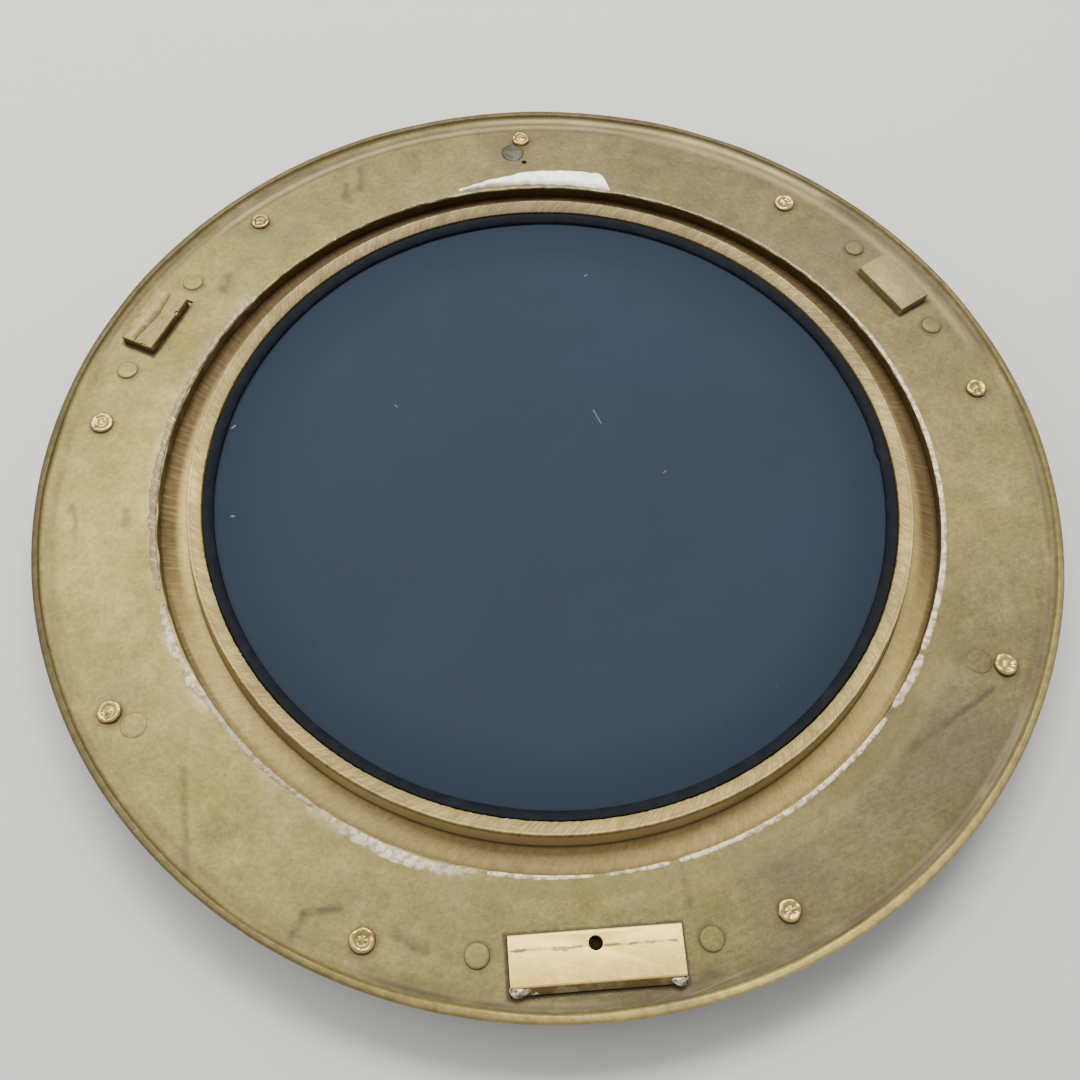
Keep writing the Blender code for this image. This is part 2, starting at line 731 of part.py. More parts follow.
def make_wing_nut(name, pivot):
    mm = MM
    bore = SHANK_RADIUS + BORE_CLEARANCE
    boss = [
        (4.7 * mm, NUT_START + 8.0 * mm),
        (5.3 * mm, NUT_START + 2.2 * mm),
        (6.2 * mm, NUT_START + 1.4 * mm),
        (6.2 * mm, NUT_START),
        (bore, NUT_START),
        (bore, NUT_START + 8.0 * mm),
    ]
    nut = add_object("wing_nut_" + name, turned_mesh("wing_nut", boss, 20, True), BRIGHT_BRASS)
    turn = Matrix.Rotation(math.radians(90.0), 4, "Z") @ Matrix.Rotation(math.radians(90.0), 4, "X")
    wings = add_cutter("wings_" + name, plate_mesh("wings", wing_outline(), 3.0 * mm, turn))
    rods = [((0.0, 0.0, NUT_START - 2.0 * mm), (0.0, 0.0, NUT_START + 14.0 * mm), bore)]
    hole = add_cutter("nut_bore_" + name, rod_mesh("nut_bore", rods, 20))
    for cutter, operation in ((wings, "UNION"), (hole, "DIFFERENCE")):
        cutter.parent = pivot
        combine(nut, operation, cutter)
    nut.parent = pivot


def make_dog(name, angle, tenon):
    make_dog_bracket(name, angle, tenon)
    centre = (DOG_AXIS_RADIUS, 0.0, DOG_AXIS_Z)
    make_pin("dog_pin_" + name, centre, angle, PIVOT_PIN_RADIUS, DOG_LUG_SPAN[1], 3.2 * MM)
    turn = (0.0, math.pi - DOG_SWUNG_OUT, angle)
    pivot = add_pivot("dog_pivot_" + name, from_local(centre, angle), turn)
    make_swing_bolt(name, pivot)
    make_washer(name, pivot)
    make_wing_nut(name, pivot)


# ---------------------------------------------------------------- sealant


def make_sealant_bead():
    """A thin bead round the opening, from one end of the filler patch to the other."""
    first = math.radians(FILLER_SPAN[1] + 1.2)
    last = math.radians(FILLER_SPAN[0] - 1.2) + 2.0 * math.pi
    points = 60
    curve = bpy.data.curves.new("sealant_bead", "CURVE")
    curve.dimensions = "3D"
    curve.bevel_depth = 0.9 * MM
    curve.bevel_resolution = 1
    curve.use_fill_caps = True
    spline = curve.splines.new("POLY")
    spline.points.add(points - 1)
    for i, point in enumerate(spline.points):
        angle = first + (last - first) * i / (points - 1)
        swell = 1.0 + 0.25 * math.sin(5.0 * angle) * math.sin(13.0 * angle)
        place = polar(BEAD_RADIUS, angle, FLANGE_BACK_Z + GAP + 1.2 * MM)
        point.co = (*place, 1.0)
        point.radius = swell
    curve.materials.append(WHITE_SEALANT)
    bead = bpy.data.objects.new("sealant_bead", curve)
    PARTS.objects.link(bead)


def make_filler_patch():
    """The thick smear of white filler on the far side of the opening."""
    steps = 16
    inner = []
    outer = []
    for i in range(steps + 1):
        share = i / steps
        angle = math.radians(FILLER_SPAN[0] + (FILLER_SPAN[1] - FILLER_SPAN[0]) * share)
        width = 7.6 * MM * math.sin(math.pi * share) ** 0.5 + 0.7 * MM
        inner.append(polar(FLANGE_HOLE_RADIUS + 0.6 * MM, angle).xy)
        outer.append(polar(FLANGE_HOLE_RADIUS + 0.6 * MM + width * (1.0 - 0.35 * share), angle).xy)
    outline = [tuple(p) for p in outer] + [tuple(p) for p in reversed(inner)]
    thickness = 1.8 * MM
    lift = Matrix.Translation((0.0, 0.0, FLANGE_BACK_Z + GAP + thickness / 2.0))
    add_object("filler_patch", plate_mesh("filler_patch", outline, thickness, lift), WHITE_SEALANT)


# ---------------------------------------------------------------- assembly


def main():
    make_flange()
    make_flange_screws()
    make_rivets()
    make_plugs()
    make_sealant_bead()
    make_filler_patch()
    make_hinge_bracket()
    hinge_centre = (HINGE_AXIS_RADIUS, 0.0, HINGE_AXIS_Z)
    make_pin("hinge_pin", hinge_centre, HINGE_ANGLE, HINGE_PIN_RADIUS, HINGE_LUG_SPAN[1], 4.6 * MM)
    sash_pivot = add_pivot("sash_pivot", from_local(hinge_centre, HINGE_ANGLE), (0.0, 0.0, HINGE_ANGLE))
    make_sash(sash_pivot)
    make_glazing(sash_pivot)
    make_port_seal(sash_pivot)
    for dog in DOGS:
        make_dog(*dog)


main()
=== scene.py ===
"""Looks of the opening porthole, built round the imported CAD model.

The port lies on the face of its sash, with the wall side of the flange up.  The flange is a
dull, stained casting; three bracket tenons, screws, rivets and plugs show in it; old sealant
runs round its opening; inside stand the ridge of the sash, a black gasket and a slate disc.
"""

import math

import bmesh
import bpy
import numpy as np
from mathutils import Matrix, Vector


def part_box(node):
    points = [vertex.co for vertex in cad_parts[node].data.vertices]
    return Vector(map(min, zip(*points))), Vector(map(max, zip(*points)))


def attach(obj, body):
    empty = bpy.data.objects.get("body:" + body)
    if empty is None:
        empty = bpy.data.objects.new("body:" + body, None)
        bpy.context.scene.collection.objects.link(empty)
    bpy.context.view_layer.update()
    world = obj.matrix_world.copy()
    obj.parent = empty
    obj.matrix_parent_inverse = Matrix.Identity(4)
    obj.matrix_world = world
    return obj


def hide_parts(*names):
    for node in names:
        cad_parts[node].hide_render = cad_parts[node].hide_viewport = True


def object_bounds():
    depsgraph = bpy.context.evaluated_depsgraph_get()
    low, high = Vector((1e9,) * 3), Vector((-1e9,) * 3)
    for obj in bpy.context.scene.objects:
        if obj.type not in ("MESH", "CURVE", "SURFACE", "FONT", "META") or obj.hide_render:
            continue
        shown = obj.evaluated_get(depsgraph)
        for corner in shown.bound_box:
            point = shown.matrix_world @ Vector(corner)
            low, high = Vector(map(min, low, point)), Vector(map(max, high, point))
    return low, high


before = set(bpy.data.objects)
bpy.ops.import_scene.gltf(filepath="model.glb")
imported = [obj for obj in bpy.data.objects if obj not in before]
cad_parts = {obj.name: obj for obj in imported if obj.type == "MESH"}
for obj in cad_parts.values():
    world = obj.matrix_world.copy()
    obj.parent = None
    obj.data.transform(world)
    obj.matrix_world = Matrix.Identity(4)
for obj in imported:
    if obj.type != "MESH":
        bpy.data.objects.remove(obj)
CAD_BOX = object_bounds()

MM = 0.001

# Heights and radii of the CAD model in mm, its angles, and how many screws and rivets it has
FLANGE_FRONT = 18.7
FLANGE_BACK = 23.7
LIP_TOP = 26.0
HOLE_RADIUS = 145.8
SASH_BACK = 18.4
RIDGE_TOP = 28.2
RIDGE_INNER = 129.4
DISC_TOP = 23.25
HINGE_ANGLE = math.radians(276.6)
DOG_ANGLES = {"right": math.radians(36.0), "left": math.radians(158.6)}
DOG_AXIS = (170.0, 11.7)  # radius and height of the dogs' pivots
DOG_SWUNG_OUT = math.radians(73.0)
SCREWS = 9
RIVETS = 6
RIDGE_LENGTH = 0.83  # once round the ridge, in metres

FOCAL_IN_IMAGE_WIDTHS = 1150.0 / 1080.0


# ---------------------------------------------------------------- node materials


class Graph:
    """A short way to write a node material; lengths in it are metres unless mm is said."""

    def __init__(self, name):
        self.material = bpy.data.materials.new(name)
        self.material.use_nodes = True
        self.nodes = self.material.node_tree.nodes
        self.links = self.material.node_tree.links
        self.shader = self.nodes["Principled BSDF"]
        self.place = self.node("TexCoord").outputs["Object"]
        self.flat = self.vector("MULTIPLY", self.place, (1.0, 1.0, 0.0))
        self.radius = self.vector("LENGTH", self.flat)
        self.height = self.node("SeparateXYZ", self.place).outputs["Z"]
        self.colour = None

    def feed(self, socket, value):
        if isinstance(value, bpy.types.NodeSocket):
            self.links.new(value, socket)
        elif socket.type == "RGBA":
            socket.default_value = (*value, 1.0)
        else:
            socket.default_value = value

    def node(self, kind, *values, **settings):
        """A new node with its settings made and its first inputs fed."""
        node = self.nodes.new("ShaderNode" + kind)
        for name, value in settings.items():
            setattr(node, name, value)
        for socket, value in zip(node.inputs, values):
            self.feed(socket, value)
        return node

    def math(self, operation, *values, clamp=False):
        return self.node("Math", *values, operation=operation, use_clamp=clamp).outputs[0]

    def vector(self, operation, *values):
        scalar = operation in ("DISTANCE", "LENGTH", "DOT_PRODUCT")
        node = self.node("VectorMath", *values, operation=operation)
        return node.outputs["Value" if scalar else "Vector"]

    def scaled(self, colour, share):
        node = self.node("VectorMath", colour, operation="SCALE")
        self.feed(node.inputs["Scale"], share)
        return node.outputs["Vector"]

    def noise(self, scale, detail=4.0, roughness=0.55, distortion=0.0, at=None, output="Fac"):
        node = self.node("TexNoise", self.place if at is None else at)
        numbers = {"Scale": scale, "Detail": detail, "Roughness": roughness, "Distortion": distortion}
        for name, number in numbers.items():
            node.inputs[name].default_value = number
        return node.outputs[output]

    def stretched(self, angle, along, across):
        """Coordinates turned by angle and squeezed, so that noise in them makes streaks."""
        node = self.node("Mapping", self.place, vector_type="TEXTURE")
        node.inputs["Rotation"].default_value = (0.0, 0.0, math.radians(angle))
        node.inputs["Scale"].default_value = (along, across, 1.0)
        return node.outputs["Vector"]

    def smooth(self, value, low, high, to_low=0.0, to_high=1.0):
        numbers = (value, low, high, to_low, to_high)
        return self.node("MapRange", *numbers, interpolation_type="SMOOTHSTEP").outputs[0]

    def vary(self, value, low, high, amount):
        """A share about 1, from 1 - amount at low to 1 + amount at high."""
        return self.smooth(value, low, high, 1.0 - amount, 1.0 + amount)

    def mix(self, share, first, second, blend="MIX"):
        node = self.node("Mix", data_type="RGBA", blend_type=blend)
        for place, value in ((0, share), (6, first), (7, second)):
            self.feed(node.inputs[place], value)
        return node.outputs[2]

    def coat(self, tone, strength, *masks, blend="MIX"):
        """Lays a tone over the colour so far, where all the masks let it."""
        self.colour = self.mix(self.times(*masks, strength), self.colour, tone, blend)

    def multiply(self, share):
        """Multiplies the colour so far by a share."""
        self.colour = self.scaled(self.colour, share)

    def turn(self, at):
        """The direction from the centre line, from 0 to 1 round the rim."""
        split = self.node("SeparateXYZ", at)
        angle = self.math("ARCTAN2", split.outputs["Y"], split.outputs["X"])
        return self.math("FRACT", self.math("MULTIPLY_ADD", angle, 0.5 / math.pi, 1.0))

    def around(self, at, dark, pale, shares):
        """Between a dark and a pale tone; shares are (degrees, how pale it is there) in order."""
        node = self.node("ValToRGB", self.turn(at))
        elements = node.color_ramp.elements
        for place, (degrees, share) in enumerate(shares):
            if place < 2:
                element = elements[place]
                element.position = degrees / 360.0
            else:
                element = elements.new(degrees / 360.0)
            colour = [low + (high - low) * share for low, high in zip(dark, pale)]
            element.color = (*colour, 1.0)
        return node.outputs["Color"]

    def hatched(self, along, across, slant):
        """Coordinates that follow the rim, so that noise in them makes marks across it."""
        length = self.times(self.turn(self.flat), RIDGE_LENGTH)
        arc = self.math("MULTIPLY_ADD", self.radius, slant, length)
        sides = self.times(arc, 1.0 / along), self.times(self.radius, 1.0 / across)
        return self.node("CombineXYZ", *sides).outputs["Vector"]

    def most(self, first, *others):
        for other in others:
            first = self.math("MAXIMUM", first, other)
        return first

    def times(self, first, *others):
        for other in others:
            first = self.math("MULTIPLY", first, other)
        return first

    def wobbled(self, scale, amount):
        """The place on the plan, shifted about so that marks get uneven edges."""
        colour = self.noise(scale, 4.0, 0.6, output="Color")
        shift = self.vector("SUBTRACT", colour, (0.5, 0.5, 0.5))
        shift = self.vector("MULTIPLY", shift, (amount, amount, 0.0))
        return self.vector("ADD", self.flat, shift)

    def axes(self, at, angle):
        """How far a place lies outwards and across in a frame turned by an angle."""
        outward = (math.cos(angle), math.sin(angle), 0.0)
        across = (-math.sin(angle), math.cos(angle), 0.0)
        return self.vector("DOT_PRODUCT", at, outward), self.vector("DOT_PRODUCT", at, across)

    def within(self, gap, size, soft):
        """1 where a distance is smaller than a size, fading over soft on both sides of it."""
        return self.smooth(gap, size + soft, max(size - soft, 0.0))

    def spot(self, at, x, y, radius, soft):
        return self.within(self.vector("DISTANCE", at, (x, y, 0.0)), radius, soft)

    def stroke(self, at, start, end, width, soft):
        """A mark along the line between two points of the plan."""
        a = Vector((*start, 0.0))
        along = Vector((*end, 0.0)) - a
        offset = self.vector("SUBTRACT", at, tuple(a))
        share = self.vector("DOT_PRODUCT", offset, tuple(along / along.length_squared))
        share = self.math("MULTIPLY", share, 1.0, clamp=True)
        return self.within(self.vector("DISTANCE", offset, self.scaled(tuple(along), share)), width, soft)

    def toward(self, degrees):
        """The cosine between the place and a direction from the centre line."""
        return self.axes(self.vector("NORMALIZE", self.flat), math.radians(degrees))[0]

    def sector(self, centre, half, soft, strength=1.0):
        """The strength within half degrees of a direction, fading over soft."""
        edges = [math.cos(math.radians(width)) for width in (half + soft, half)]
        return self.times(self.smooth(self.toward(centre), *edges), strength)

    def sectors(self, *rows):
        """The strongest of several sectors."""
        return self.most(*[self.sector(*row) for row in rows])

    def ring(self, middle, half, soft):
        """A band round the centre line; its radius, half width and softness are in mm."""
        gap = self.math("ABSOLUTE", self.math("SUBTRACT", self.radius, middle * MM))
        return self.within(gap, half * MM, soft * MM)

    def finish(self, roughness, metallic, bumps=(), specular=0.5):
        """Connects the shader. Each bump is (height, strength, distance)."""
        values = {
            "Base Color": self.colour,
            "Roughness": roughness,
            "Metallic": metallic,
            "Specular IOR Level": specular,
        }
        for height, strength, distance in bumps:
            bump = self.node("Bump")
            for name, value in (("Strength", strength), ("Distance", distance), ("Height", height)):
                self.feed(bump.inputs[name], value)
            if "Normal" in values:
                self.feed(bump.inputs["Normal"], values["Normal"])
            values["Normal"] = bump.outputs["Normal"]
        for name, value in values.items():
            self.feed(self.shader.inputs[name], value)
        return self.material


def turned(radius, angle, height):
    """A point in metres, from a radius and a height in mm and an angle in radians."""
    return (radius * MM * math.cos(angle), radius * MM * math.sin(angle), height * MM)


def polar(radius, degrees):
    return turned(radius, math.radians(degrees), 0.0)[:2]


def centre_of(node):
    low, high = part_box(node)
    return ((low[0] + high[0]) / 2.0, (low[1] + high[1]) / 2.0)


def centres(kind, count):
    """The centres of CAD nodes whose names end in 1 to count."""
    return [centre_of(f"{kind}_{i}") for i in range(1, count + 1)]


def aged(g, tone, cloud=0.08, patch=0.10, grain=0.12):
    """Starts a colour with cloudy patches, mottling and fine grain in it; returns the grain."""
    fine = g.noise(620.0, 4.0, 0.75)
    broad = g.vary(g.noise(18.0, 6.0, 0.62, 0.4), 0.3, 0.7, cloud)
    middle = g.vary(g.noise(120.0, 6.0, 0.68, 0.3), 0.3, 0.7, patch)
    g.colour = g.scaled(tone, g.times(broad, middle, g.vary(fine, 0.3, 0.7, grain)))
    return fine


def scratches(g, angle, density):
    """Thin straight scratches in one direction, only where a cloudy mask lets them."""
    streak = g.noise(1.0, 2.0, 0.5, at=g.stretched(angle, 0.030, 0.0006))
    where = g.noise(30.0, 3.0, 0.5)
    return g.times(g.smooth(streak, 0.66, 0.74), g.smooth(where, 0.62 - density, 0.72 - density))


# Dark and pale tone of a surface, and how pale it is in some directions round the port.
# The back is palest on the left and dullest on the far side and the lower right, and the
# crest of the lip is palest on the near side. These changes are partly the metal's own
# patina and partly painted light and shade: painted light on the left and on the crest's
# near side, painted shade on the far side and the lower right.
BACK = ((0.088, 0.068, 0.032), (0.24, 0.195, 0.06))
BACK_PALE = (
    (0.0, 0.4),
    (60.0, 0.05),
    (120.0, 0.3),
    (190.0, 1.0),
    (235.0, 0.6),
    (285.0, 0.3),
    (325.0, 0.0),
    (360.0, 0.4),
)
CREST = ((0.06, 0.045, 0.018), (0.36, 0.28, 0.09))
CREST_PALE = (
    (0.0, 0.2),
    (60.0, 0.05),
    (130.0, 0.1),
    (200.0, 0.0),
    (245.0, 0.2),
    (295.0, 1.0),
    (325.0, 0.5),
    (360.0, 0.2),
)
# A dark tone used both for real dirt and stains and for painted shade in hollows and round raised parts
GRIME_AND_SHADE = (0.050, 0.038, 0.020)
# Where the corner of the lip is darkened by dirt and painted shade: direction, half width and
# softness in degrees, and strength
LIP_DIRT_AND_SHADE = (
    (38.0, 12.0, 10.0, 1.0),
    (146.0, 16.0, 8.0, 1.0),
    (292.0, 34.0, 12.0, 1.0),
    (225.0, 30.0, 14.0, 0.45),
    (165.0, 40.0, 10.0, 0.25),
    (345.0, 26.0, 8.0, 0.80),
)


def flange_material():
    g = Graph("old_cast_brass")
    drift = g.wobbled(14.0, 0.045)
    near = g.wobbled(400.0, 0.0022)
    grain = aged(g, g.around(drift, *BACK, BACK_PALE), 0.09, 0.13, 0.16)

    # Olive and golden tints in patches, and brush marks on the right
    olive = g.smooth(g.noise(34.0, 5.0, 0.6, 0.5), 0.48, 0.68)
    g.coat((0.90, 1.0, 0.80), 0.55, olive, blend="MULTIPLY")
    gold = g.smooth(g.noise(22.0, 5.0, 0.65, 0.8), 0.55, 0.72)
    g.coat((1.12, 1.02, 0.66), 0.45, gold, blend="MULTIPLY")
    brushed = g.noise(1.0, 4.0, 0.6, at=g.stretched(28.0, 0.012, 0.0009))
    lined = g.times(g.math("SUBTRACT", brushed, 0.5), g.sector(318.0, 42.0, 20.0))
    g.multiply(g.vary(lined, -0.15, 0.15, 0.07))
    mark_lip(g, drift)
    mark_wall(g)
    mark_back(g, near)
    mark_fasteners(g, near)
    mark_film(g)

    marks = g.most(scratches(g, 24.0, 0.10), g.times(scratches(g, 117.0, 0.06), 0.7))
    g.coat((0.50, 0.42, 0.25), 0.16, marks)
    g.coat(GRIME_AND_SHADE, 0.35, g.smooth(g.noise(520.0, 2.0, 0.5), 0.70, 0.78))
    roughness = g.smooth(g.noise(45.0, 5.0, 0.6), 0.3, 0.7, 0.50, 0.64)
    pits = g.noise(260.0, 6.0, 0.65)
    waves = g.noise(38.0, 3.0, 0.5)
    bumps = [(waves, 0.40, 0.0006), (pits, 0.55, 0.00045), (grain, 0.30, 0.00016), (lined, 0.10, 0.0001)]
    return g.finish(roughness, 0.50, bumps, 0.25)


def mark_lip(g, drift):
    """Dirt and painted shade inside the lip and in its corner, the crest with painted light on
    its near side, painted highlights on the lip's slope and foot, and a dark turned line beside it.
    """
    # A darker band at the foot of the lip all round: painted shade and dirt
    g.coat(GRIME_AND_SHADE, 0.40, g.ring(183.5, 1.2, 2.2), g.smooth(g.noise(30.0, 4.0), 0.3, 0.6))
    # The corner darkened further on the far side: painted shade
    inside = g.sectors((122.0, 30.0, 10.0, 0.42), (40.0, 8.0, 6.0, 0.45))
    g.coat(GRIME_AND_SHADE, 1.0, g.ring(183.2, 0.7, 1.6), inside)
    # A pale band on the lip's inner slope, far side and near right: painted highlight
    slope = g.sectors((76.0, 22.0, 8.0, 0.75), (320.0, 9.0, 8.0, 0.6))
    g.coat((0.250, 0.215, 0.105), 1.0, g.ring(185.6, 1.1, 1.2), slope)
    # Patchy darkening on the lip's inner slope in the listed directions: painted shade and dirt
    patchy = g.smooth(g.noise(90.0, 4.0), 0.25, 0.5, 0.6, 1.0)
    g.coat(GRIME_AND_SHADE, 0.88, g.ring(185.3, 0.8, 1.1), g.sectors(*LIP_DIRT_AND_SHADE), patchy)
    # The crest, palest on its near side: patina and painted light
    crest = g.scaled(g.around(drift, *CREST, CREST_PALE), g.vary(g.noise(300.0, 5.0, 0.7), 0.3, 0.7, 0.22))
    g.coat(crest, 1.0, g.most(g.smooth(g.height, 0.0246, 0.0256), g.smooth(g.radius, 0.1892, 0.1897)))
    # On the far side: a dark turned line, then pale bands on the foot of the lip, which are painted
    # highlight
    far = g.sector(112.0, 26.0, 8.0)
    g.coat(GRIME_AND_SHADE, 0.45, g.ring(180.0, 0.4, 0.7), far)
    g.coat((0.30, 0.25, 0.14), 0.45, g.ring(182.0, 0.9, 0.9), far)
    g.coat((0.29, 0.26, 0.125), 0.40, g.ring(181.5, 1.6, 1.6), g.sector(52.0, 24.0, 8.0))


def mark_wall(g):
    """The wall of the opening is darkened with painted shade; its upper edge is worn and carries a painted
    highlight on the far side.
    """
    # The wall all round: painted shade
    wall = g.times(g.smooth(g.height, 0.0234, 0.0228), g.smooth(g.radius, 0.147, 0.1455))
    g.coat((0.060, 0.036, 0.012), 0.85, wall)
    # The upper edge on the far side: wear and a painted highlight
    edge = g.times(g.smooth(g.radius, 0.1470, 0.1463), g.smooth(g.height, 0.0229, 0.0233))
    worn = g.smooth(g.noise(240.0, 5.0, 0.7), 0.35, 0.6)
    g.coat((0.42, 0.34, 0.19), 0.55, edge, worn, g.sector(75.0, 85.0, 15.0))


def mark_back(g, near):
    """The streaks and the soft dark patches; soft marks get the more uneven edges."""
    at = g.wobbled(90.0, 0.010)
    patchy = g.smooth(g.noise(260.0, 4.0, 0.6), 0.2, 0.62, 0.45, 1.0)
    for start, end, width, soft, strength in STROKES:
        place = at if soft > 0.0018 else near
        g.coat(GRIME_AND_SHADE, strength, g.stroke(place, polar(*start), polar(*end), width, soft), patchy)
    patchy = g.smooth(g.noise(120.0, 5.0, 0.65), 0.3, 0.65)
    for where, size, soft, strength in SMUDGES:
        g.coat((0.075, 0.062, 0.038), strength, g.spot(at, *polar(*where), size, soft), patchy)


def mark_fasteners(g, near):
    """Painted shade round each screw, rivet and tenon; the tops of the rivets and plugs get painted light.
    """
    rings = []
    # Crescents of painted shadow, shifted towards the near side and right of each screw
    for x, y in centres("flange_screw", SCREWS):
        rings.append(g.times(g.spot(near, x + 0.0004, y - 0.0009, 0.0049, 0.0018), 0.70))
    # Crescents of painted shadow on the inner, near side of each rivet
    for x, y in centres("bracket_rivet", RIVETS):
        inward = 0.0008 / math.hypot(x, y)
        side = g.spot(near, x - x * inward, y - y * inward - 0.0006, 0.0045, 0.0012)
        rings.append(g.times(side, 0.70))
    # A dark rim at the foot of each tenon: painted shade
    for angle, slot, (middle, half_x, half_y) in TENONS:
        u, t = g.axes(near, angle)
        u = g.math("ABSOLUTE", g.math("SUBTRACT", u, middle * MM))
        t = g.math("ABSOLUTE", t)
        gap = g.math("MAXIMUM", g.math("SUBTRACT", u, half_x * MM), g.math("SUBTRACT", t, half_y * MM))
        rings.append(g.smooth(gap, 0.0012, 0.0003, 0.0, 0.95))
    g.coat(GRIME_AND_SHADE, 0.88, g.most(*rings), g.smooth(g.height, 0.02395, 0.02380))
    # The raised tops of the rivets and plugs are made lighter: painted light
    proud = g.times(g.smooth(g.height, 0.0240, 0.0242), g.smooth(g.radius, 0.1800, 0.1780))
    g.coat((1.35, 1.33, 1.28), 0.35, proud, blend="MULTIPLY")


def mark_film(g):
    """A film of old sealant beside the opening, with an olive and a pale line outside it."""
    film = g.times(g.smooth(g.radius, 0.1530, 0.1475), g.smooth(g.noise(110.0, 5.0, 0.6), 0.42, 0.62))
    where = g.sectors((250.0, 14.0, 6.0), (212.0, 8.0, 3.0), (175.0, 26.0, 4.0, 0.5))
    g.coat((0.42, 0.38, 0.28), 0.35, film, where)
    g.coat((0.125, 0.105, 0.030), 0.50, g.ring(151.2, 1.6, 2.2), g.sector(290.0, 45.0, 20.0))
    g.coat((0.20, 0.155, 0.055), 0.25, g.ring(156.0, 1.4, 2.6), g.sector(308.0, 22.0, 12.0))


# Marks on the back: (radius in mm, degrees) of both ends, half width, softness, strength
STROKES = (
    ((177, 120), (165, 122), 0.0013, 0.0021, 0.70),
    ((170, 124), (161, 125), 0.0013, 0.0021, 0.65),
    ((162, 147), (158, 149), 0.0016, 0.0024, 0.65),
    ((175, 112), (166, 113), 0.0010, 0.0020, 0.35),
    ((149, 81), (150, 76), 0.0010, 0.0019, 0.40),
    ((172, 82), (178, 63), 0.0005, 0.0014, 0.20),
    ((185, 246), (176, 246), 0.0009, 0.0012, 0.60),
    ((176, 246), (170, 249), 0.0011, 0.0012, 0.75),
    ((166, 225), (187, 234), 0.0007, 0.0015, 0.50),
    ((157, 221), (166, 225), 0.0006, 0.0013, 0.20),
    ((173, 334), (164, 327), 0.0007, 0.0011, 0.90),
    ((164, 327), (158, 320), 0.0007, 0.0013, 0.65),
    ((172, 256), (172, 259), 0.0022, 0.0020, 0.60),
    ((151, 288), (160, 288), 0.0012, 0.0020, 0.45),
    ((176, 187), (176, 190), 0.0009, 0.0020, 0.50),
    ((157, 188), (157, 190), 0.0011, 0.0018, 0.50),
    ((183, 268), (184, 281), 0.0012, 0.0016, 0.45),
    ((184, 281), (183, 288), 0.0022, 0.0022, 0.60),
)
# Soft dark patches on the back: (radius in mm, degrees), radius, softness, strength
SMUDGES = (
    ((176, 140), 0.006, 0.006, 0.60),
    ((164, 136), 0.009, 0.007, 0.40),
    ((158, 135), 0.006, 0.006, 0.30),
    ((171, 45), 0.010, 0.008, 0.40),
    ((164, 39), 0.008, 0.008, 0.30),
    ((161, 48), 0.010, 0.010, 0.25),
    ((170, 322), 0.013, 0.011, 0.50),
    ((177, 329), 0.010, 0.008, 0.50),
    ((166, 313), 0.010, 0.010, 0.30),
    ((160, 298), 0.008, 0.006, 0.55),
    ((168, 301), 0.009, 0.006, 0.60),
    ((178, 296), 0.009, 0.007, 0.45),
    ((183, 284), 0.006, 0.005, 0.70),
    ((171, 213), 0.007, 0.006, 0.30),
    ((176, 221), 0.007, 0.007, 0.30),
    ((168, 249), 0.009, 0.008, 0.20),
    ((172, 264), 0.008, 0.008, 0.30),
    ((160, 258), 0.009, 0.009, 0.20),
    ((164, 97), 0.010, 0.008, 0.45),
    ((170, 100), 0.007, 0.005, 0.65),
    ((152, 79), 0.005, 0.005, 0.35),
)
# The tenons in the flange: the angle of each, then the distance out, half depth and half width
# in mm, first of the slot that it stands in and then of the patch inside its rim of grime
TENONS = (
    (HINGE_ANGLE, (171.85, 8.9, 27.25), (171.8, 9.2, 27.6)),
    (DOG_ANGLES["right"], (170.3, 7.25, 13.15), (170.3, 7.6, 13.6)),
    (DOG_ANGLES["left"], (172.3, 6.85, 13.35), (172.3, 7.2, 13.8)),
)

# The floor of the sash and the top of its ridge, in the way of BACK and BACK_PALE; their
# paler left and darker far side are partly their own tone and partly painted light and shade
FLOOR = ((0.07, 0.053, 0.03), (0.36, 0.26, 0.085))
FLOOR_PALE = (
    (0.0, 0.5),
    (60.0, 0.45),
    (100.0, 0.0),
    (130.0, 0.2),
    (190.0, 1.0),
    (240.0, 0.5),
    (270.0, 0.4),
    (320.0, 0.8),
    (360.0, 0.5),
)
RIDGE = ((0.12, 0.088, 0.04), (0.28, 0.21, 0.07))
RIDGE_PALE = (
    (0.0, 0.55),
    (40.0, 0.2),
    (100.0, 0.0),
    (150.0, 0.3),
    (190.0, 1.0),
    (220.0, 0.5),
    (280.0, 0.8),
    (330.0, 0.5),
    (360.0, 0.55),
)


